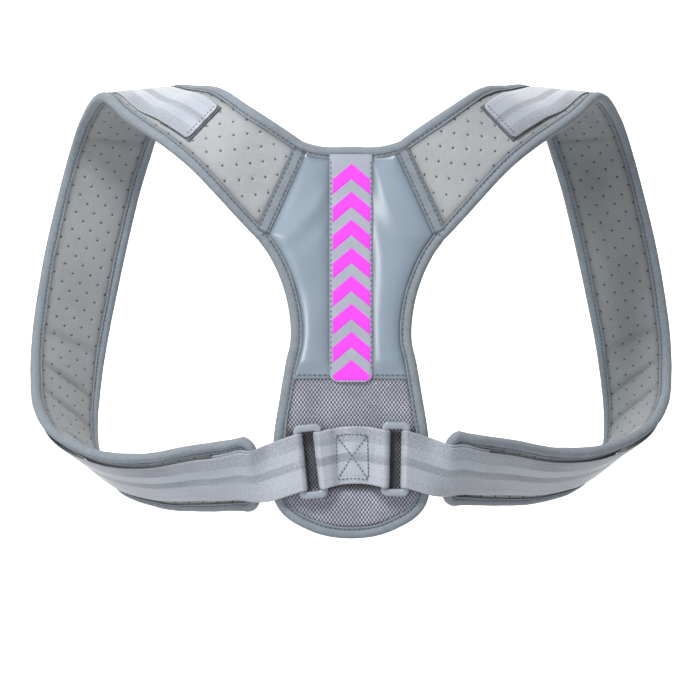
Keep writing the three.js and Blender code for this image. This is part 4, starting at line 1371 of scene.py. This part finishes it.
def webbing_frames(strap):
    """The webbing's way: down the pad, round the ring's outer bar and back to the pad's end.

    Its height above the pad eases along the course, round the bar it turns by half a circle,
    and the rest is smoothed three times by (before + 2 here + after)/4.
    """
    side, length = strap.side, strap.length
    distances = np.linspace(TAB_SETBACK, length, 190)
    down = strap.frames(distances)
    height, wide = eased(webbing_course(length), distances)
    under_arm = smoothstep(distances, 0.64 * length, 0.8 * length)
    over = down["normal"] * height[:, None] + down["across"] * under_arm[:, None] * 1.5
    middle, bar_run, slot_run = ring_place(side)
    bar = middle + slot_run * RING_REACH
    tip = strap.frames(length)["centre"][0]
    edge_x = HEM_HALF_WIDTH + 3 * BINDING
    level = bar[2] + (tip[2] - bar[2]) * (edge_x - bar[0]) / (tip[0] - bar[0])

    def at_edge(layer, normal):
        """One frame by the panel's edge, in the lower or upper of the two layers."""
        out = PADDING + 2 * GAP + BINDING + WEBBING / 2 + layer * (WEBBING + GAP)
        return np.array([[edge_x, -out, level]]), bar_run[None], normal[None], np.ones(1)

    turn = np.radians(np.linspace(0, 180, 17))[:, None]
    outward = OUT_OF_BACK * np.cos(turn) - slot_run * np.sin(turn)
    back = strap.frames(np.linspace(length, length - RETURN_LENGTH, 14))
    under = back["normal"] * OVER_BINDING + back["across"] * RETURN_DRIFT
    parts = [
        (down["centre"] + over, down["across"], down["normal"], wide - 0.04 * under_arm),
        at_edge(1, OUT_OF_BACK),
        (bar + outward * LOOP_RADIUS, np.repeat(bar_run[None], len(turn), 0), outward,
         np.ones(len(turn))),
        at_edge(0, -OUT_OF_BACK),
        (back["centre"] + under, back["across"], -back["normal"], np.ones(len(under))),
    ]
    columns = [np.concatenate(column) for column in zip(*parts)]
    run = travelled(columns[0])
    bend = run[len(distances) + 1:][:len(turn)]
    corner_steps = [0.2, 0.5, 1, 1.6, 2.8, 3.4]
    steps = np.unique(np.concatenate([np.arange(0, run[-1], 2.2), corner_steps, bend, run[-1:]]))
    centre, across, normal, wide = (at_distance(steps, run, column) for column in columns)
    kept = ((steps > bend[0] - 2.5) & (steps < bend[-1] + 2.5))[:, None]
    for value in (centre, across, normal):
        for _ in range(3):
            smooth = value.copy()
            smooth[1:-1] = (value[:-2] + 2 * value[1:-1] + value[2:]) / 4
            value[:] = np.where(kept, value, smooth)
    corner = TAB_CORNER - np.minimum(steps, TAB_CORNER)
    wide = wide - (TAB_CORNER - np.sqrt(TAB_CORNER**2 - corner**2)) / (WEBBING_WIDTH / 2)
    across = unit(across)
    normal = unit(normal - across * np.sum(normal * across, 1, keepdims=True))
    return mirrored(side, {"centre": centre, "across": across, "normal": normal,
                           "wide": wide, "run": steps})


def add_webbing(name, frames, slot, replaced, ring=False, thickness=WEBBING):
    """Tape along frames: height share (1 - |s|^14)^0.5 over its width, and the same below."""
    s = np.sin(np.linspace(-np.pi / 2, np.pi / 2, 27))
    rise = thickness / 2 * np.sqrt(np.clip(1 - np.abs(s) ** 14, 0, 1))
    over = np.column_stack([s * WEBBING_WIDTH / 2, rise])
    section = np.vstack([over, (over * [1, -1])[-2:0:-1]])
    profile = np.repeat(section[None], len(frames["centre"]), 0)
    profile[..., 0] *= frames["wide"][:, None]
    uv = paired(frames["run"], section[:, 0])
    add_piece(name, tube(carried(frames, profile), ring), slot, [replaced], uv)


class CORRECTOR_OT_webbings(CorrectorOperator, bpy.types.Operator):
    """Make the satin webbings with their hook patches and sewn tab ends"""

    bl_idname = "corrector.webbings"
    bl_label = "Webbings"

    def make(self, size):
        for strap in STRAPS:
            name = strap.side["name"]
            frames = webbing_frames(strap)
            add_webbing(f"satin_strap_{name}", frames, "satin_webbing", f"webbing_{name}")
            self.patch(strap, name)
            self.stitches(frames, name, size)

    def patch(self, strap, name):
        """Hook patch under the tab, a little longer and wider than in the frame."""
        distances = np.linspace(TAB_SETBACK - 1.6, TAB_SETBACK + PATCH_LENGTH, 24)
        frames = mirrored(strap.side, strap.frames(distances))
        wide = eased(webbing_course(strap.length), distances)[1]
        frames["centre"] = frames["centre"] + frames["normal"] * (ON_PAD - WEBBING / 2
                                                                  + HOOK_PATCH / 2)
        add_webbing(f"hook_cloth_{name}", {**frames, "wide": wide + 0.03, "run": distances},
                    "hook_cloth", f"hook_patch_{name}", thickness=HOOK_PATCH + 0.3)

    def stitches(self, frames, name, size):
        """A row across the tab's end."""
        centre, across, normal, wide = (
            at_distance(np.array([STITCH_INSET]), frames["run"], frames[key])
            for key in ("centre", "across", "normal", "wide")
        )
        half = 0.9 * wide[0] * WEBBING_WIDTH / 2
        line = centre + across * np.linspace(-half, half, 24)[:, None] + normal * (WEBBING / 2)
        row = stitch_row(line, normal[0], size.stitch_pitch * 0.8)
        add_stitches(f"satin_strap_stitches_{name}", [row], size, "satin_webbing", SHORT_STITCH)


class CORRECTOR_OT_rings(CorrectorOperator, bpy.types.Operator):
    """Make the two moulded rectangular rings"""

    bl_idname = "corrector.rings"
    bl_label = "Rings"

    def make(self, size):
        for side in SIDES:
            self.ring(side)

    def ring(self, side):
        """Section between an outer and an inner rounded rectangle, both followed at one angle.

        The section is a superellipse |a|^3 + |b|^3 = 1 of the bar's half width and depth.
        """

        def outline(width, height, corner):
            """Rounded rectangle, each of whose quarters is at its corner's circle."""
            turn = np.linspace(0, 2 * np.pi, 4 * 24, endpoint=False) + np.pi / 4
            quarter = np.floor(turn / (np.pi / 2))
            share = turn / (np.pi / 2) - quarter
            angle = (quarter + np.clip((share - 0.2) / 0.6, 0, 1)) * np.pi / 2
            middle = (quarter + 0.5) * np.pi / 2
            centre = np.sign(np.column_stack([np.cos(middle), np.sin(middle)]))
            centre = centre * [width / 2 - corner, height / 2 - corner]
            return centre + corner * np.column_stack([np.cos(angle), np.sin(angle)])

        outer = outline(RING_SLOT + 2 * RING_BAR, RING_WINDOW + 2 * RING_END_BAR, RING_CORNER)
        inner = outline(RING_SLOT, RING_WINDOW, RING_CORNER / 2)
        middle, bar_run, slot_run = ring_place(side)
        turn = np.linspace(0, 2 * np.pi, 20, endpoint=False)
        wave = np.stack([np.cos(turn), np.sin(turn)])
        a, b = np.sign(wave) * np.abs(wave) ** (2 / 3)
        flat = (outer + inner)[:, None] / 2 + (outer - inner)[:, None] / 2 * a[None, :, None]
        points = middle + flat[..., :1] * slot_run + flat[..., 1:] * bar_run
        points = points + OUT_OF_BACK * (b * RING_DEPTH / 2)[None, :, None]
        add_piece(f"moulded_ring_{side['name']}", tube(points * [side["sign"], 1, 1], ring=True),
                  "ring_plastic", [f"ring_{side['name']}"], sharp=70)


class CORRECTOR_OT_center_tab(CorrectorOperator, bpy.types.Operator):
    """Make the webbing loop that holds both rings, with its box and cross of stitches"""

    bl_idname = "corrector.center_tab"
    bl_label = "Center tab"

    def make(self, size):
        """A loop in the plane of sideways and forwards, spread up and down by the webbing.

        Its front dips from the bars to the sewn middle. It rises by arch (1 - s^2) over the
        share s of its half span, and its ends lean with the bars.
        """
        radius = LOOP_RADIUS
        sewn = radius - WEBBING - 0.1
        turn = np.radians(np.linspace(-90, 90, 15))
        bend = np.column_stack([np.cos(turn), np.sin(turn)]) * radius + [TAB_HALF_SPAN, 0]
        front = spline([[TAB_HALF_SPAN, -radius], [TAB_SEWN_HALF + 5, -radius * 0.45],
                        [TAB_SEWN_HALF, sewn - 0.3], [0, sewn - 0.5]], np.linspace(0, 1, 26))
        back = np.linspace([TAB_HALF_SPAN, radius], [0, radius], 12)
        half = np.vstack([front[:0:-1], bend, back[1:]])
        path = np.vstack([half[:-1], (half * [-1, 1])[:0:-1]])
        x, y = path.T
        tangent = unit(np.roll(path, -1, 0) - np.roll(path, 1, 0))
        share, none = x / TAB_HALF_SPAN, np.zeros(len(x))
        leans = np.where(x < 0, -LEFT["ring_lean"], RIGHT["ring_lean"])
        tilt = np.tan(np.radians(leans)) * np.abs(share)
        levels = [
            HEM_LEVEL + side["ring_rise"] + RING_REACH * math.sin(math.radians(side["ring_lean"]))
            for side in SIDES
        ]
        level = np.interp(share, [-1, 1], levels)
        arch = TAB_ARCH * np.maximum(1 - share * share, 0)
        frames = {
            "centre": np.column_stack([x + TAB_SHIFT, y - RING_OUT, arch + level]),
            "across": unit(np.column_stack([tilt, none, 1 + none])),
            "normal": np.column_stack([tangent[:, 1], -tangent[:, 0], none]),
            "wide": 1 + none, "run": travelled(path),
        }
        add_webbing("satin_tab", frames, "satin_webbing", "center_tab", ring=True)
        self.stitches(size, sewn, level[0])

    def stitches(self, size, sewn, level):
        """A box and its diagonals on the sewn middle, following the tab's dip and arch."""
        box = np.array([[-10.2, 17.0], [10.6, 17.3], [11.2, -12.0], [-9.6, -12.4]])
        lines = list(zip(box, np.roll(box, -1, 0))) + [(box[0], box[2]), (box[1], box[3])]
        rows = []
        for start, end in lines:
            line = np.linspace(start, end, 24)
            x = line[:, 0] + TAB_SHIFT * 0.2
            share = x / TAB_HALF_SPAN
            dip = 1.2 * smoothstep(np.abs(x), TAB_SEWN_HALF - 3, TAB_SEWN_HALF + 6)
            y = -RING_OUT + sewn - 0.45 - WEBBING / 2 - dip
            z = level + line[:, 1] + TAB_ARCH * (1 - share * share) - 3.5
            line = np.column_stack([x, y, z])
            rows.append(stitch_row(line, OUT_OF_BACK, size.stitch_pitch * 0.75))
        add_stitches("satin_tab_stitches", rows, size, "satin_webbing", SHORT_STITCH)


# ---- Stage ----

CAMERA_PLACE = (-0.0007, -1.3, 0)

# Lamps: name, place, power, width and what they are aimed at, in metres and watts
OBJECT, WALL = (0, 0.05, 0), (0, 2.0, 0.2)
LAMPS = [
    ("key", (-0.7, -1.1, 1.7), 48, 0.6, OBJECT), ("fill", (0.1, -2.3, 0.6), 4, 1.0, OBJECT),
    ("streak", (-0.85, -1.6, 0.15), 7, 0.35, OBJECT), ("wall", (0.0, 1.2, 1.4), 8, 1.6, WALL),
]


class CORRECTOR_OT_stage(CorrectorOperator, bpy.types.Operator):
    """Make the pale floor and backdrop, the soft lights and the camera"""

    bl_idname = "corrector.stage"
    bl_label = "Stage"

    def make(self, size):
        self.backdrop()
        self.lights()
        scene = bpy.context.scene
        scene.camera = self.put("camera", bpy.data.cameras.new("camera"), CAMERA_PLACE)
        scene.camera.rotation_euler = (math.radians(90), 0, 0)
        scene.camera.data.lens = 100.3
        scene.camera.data.sensor_width = 36
        scene.camera.data.clip_end = 30
        scene.view_settings.view_transform = "Standard"

    def put(self, name, data, place=(0, 0, 0)):
        """Object that holds the data at a place in the scene."""
        holder = bpy.data.objects.new(name, data)
        holder.location = place
        bpy.context.scene.collection.objects.link(holder)
        return holder

    def backdrop(self):
        """Sweep: floor, a quarter circle of radius 1.2 m, and a wall, the same all along x."""
        radius, floor, back = 1200.0, -420.0, 900.0
        turn = np.linspace(0, np.pi / 2, 24)
        bend = np.column_stack([back + radius * np.sin(turn), floor + radius * (1 - np.cos(turn))])
        line = np.vstack([[-4000.0, floor], bend, [back + radius, 4500.0]])
        x = np.linspace(-5000, 5000, 9)
        points = np.stack(np.broadcast_arrays(x[None], line[:, :1], line[:, 1:]), -1)
        mesh = bpy.data.meshes.new("sweep")
        mesh.from_pydata((points.reshape(-1, 3) * MM).tolist(), [],
                         grid_quads(len(line), len(x))[:, ::-1].tolist())
        mesh.shade_smooth()
        paper = Finish("pale_paper", 0.9, Emission_Color=(1, 1, 1, 1))
        far = paper.ranged(paper.node("SeparateXYZ", {0: paper.place()}, out=1), 0.4, 1.2)
        paper.drive("Base Color", paper.mixed(far, (0.65, 0.65, 0.65, 1), (0.9, 0.9, 0.9, 1)))
        paper.drive("Emission Strength", paper.scaled(far, 0.75))
        mesh.materials.append(paper.material)
        self.put("sweep", mesh)

    def lights(self):
        """Even pale world and four area lamps, each turned towards its aim."""
        world = bpy.data.worlds.new("studio")
        world.use_nodes = True
        shade = world.node_tree.nodes["Background"]
        shade.inputs[0].default_value = (1, 1, 1, 1)
        shade.inputs[1].default_value = 0.2
        bpy.context.scene.world = world
        for name, place, power, width, aim in LAMPS:
            lamp = bpy.data.lights.new(name, "AREA")
            lamp.energy = power
            lamp.size = width
            x, y, z = np.subtract(aim, place)
            self.put(name, lamp, place).rotation_euler = (
                math.atan2(z, math.hypot(x, y)) + math.pi / 2, 0, math.atan2(y, x) - math.pi / 2
            )


class CORRECTOR_PT_panel(bpy.types.Panel):
    """Lists the corrector's pieces, sizes and colours"""

    bl_idname = "CORRECTOR_PT_panel"
    bl_label = "Posture corrector"
    bl_space_type = "VIEW_3D"
    bl_region_type = "UI"
    bl_category = "Corrector"

    def draw(self, context):
        for operator in OPERATORS:
            self.layout.operator(operator.bl_idname)
        for group in (context.scene.corrector_sizes, context.scene.corrector_colours):
            for key in own_keys(group):
                self.layout.prop(group, key)


OPERATORS = [
    CORRECTOR_OT_back_panel,
    CORRECTOR_OT_chevron_strip,
    CORRECTOR_OT_seam_tapes,
    CORRECTOR_OT_shoulder_pads,
    CORRECTOR_OT_bindings,
    CORRECTOR_OT_webbings,
    CORRECTOR_OT_rings,
    CORRECTOR_OT_center_tab,
    CORRECTOR_OT_stage,
]
CLASSES = [CorrectorSizes, CorrectorColours, *OPERATORS, CORRECTOR_PT_panel]


def register():
    """Adds the classes and the scene's own sizes and colours."""
    for cls in CLASSES:
        bpy.utils.register_class(cls)
    bpy.types.Scene.corrector_sizes = bpy.props.PointerProperty(type=CorrectorSizes)
    bpy.types.Scene.corrector_colours = bpy.props.PointerProperty(type=CorrectorColours)


def unregister():
    """Takes them away again."""
    del bpy.types.Scene.corrector_colours
    del bpy.types.Scene.corrector_sizes
    for cls in reversed(CLASSES):
        bpy.utils.unregister_class(cls)


def main():
    """Makes every piece through its operator."""
    register()
    for operator in OPERATORS:
        group, action = operator.bl_idname.split(".")
        getattr(getattr(bpy.ops, group), action)()


if __name__ == "__main__":
    main()
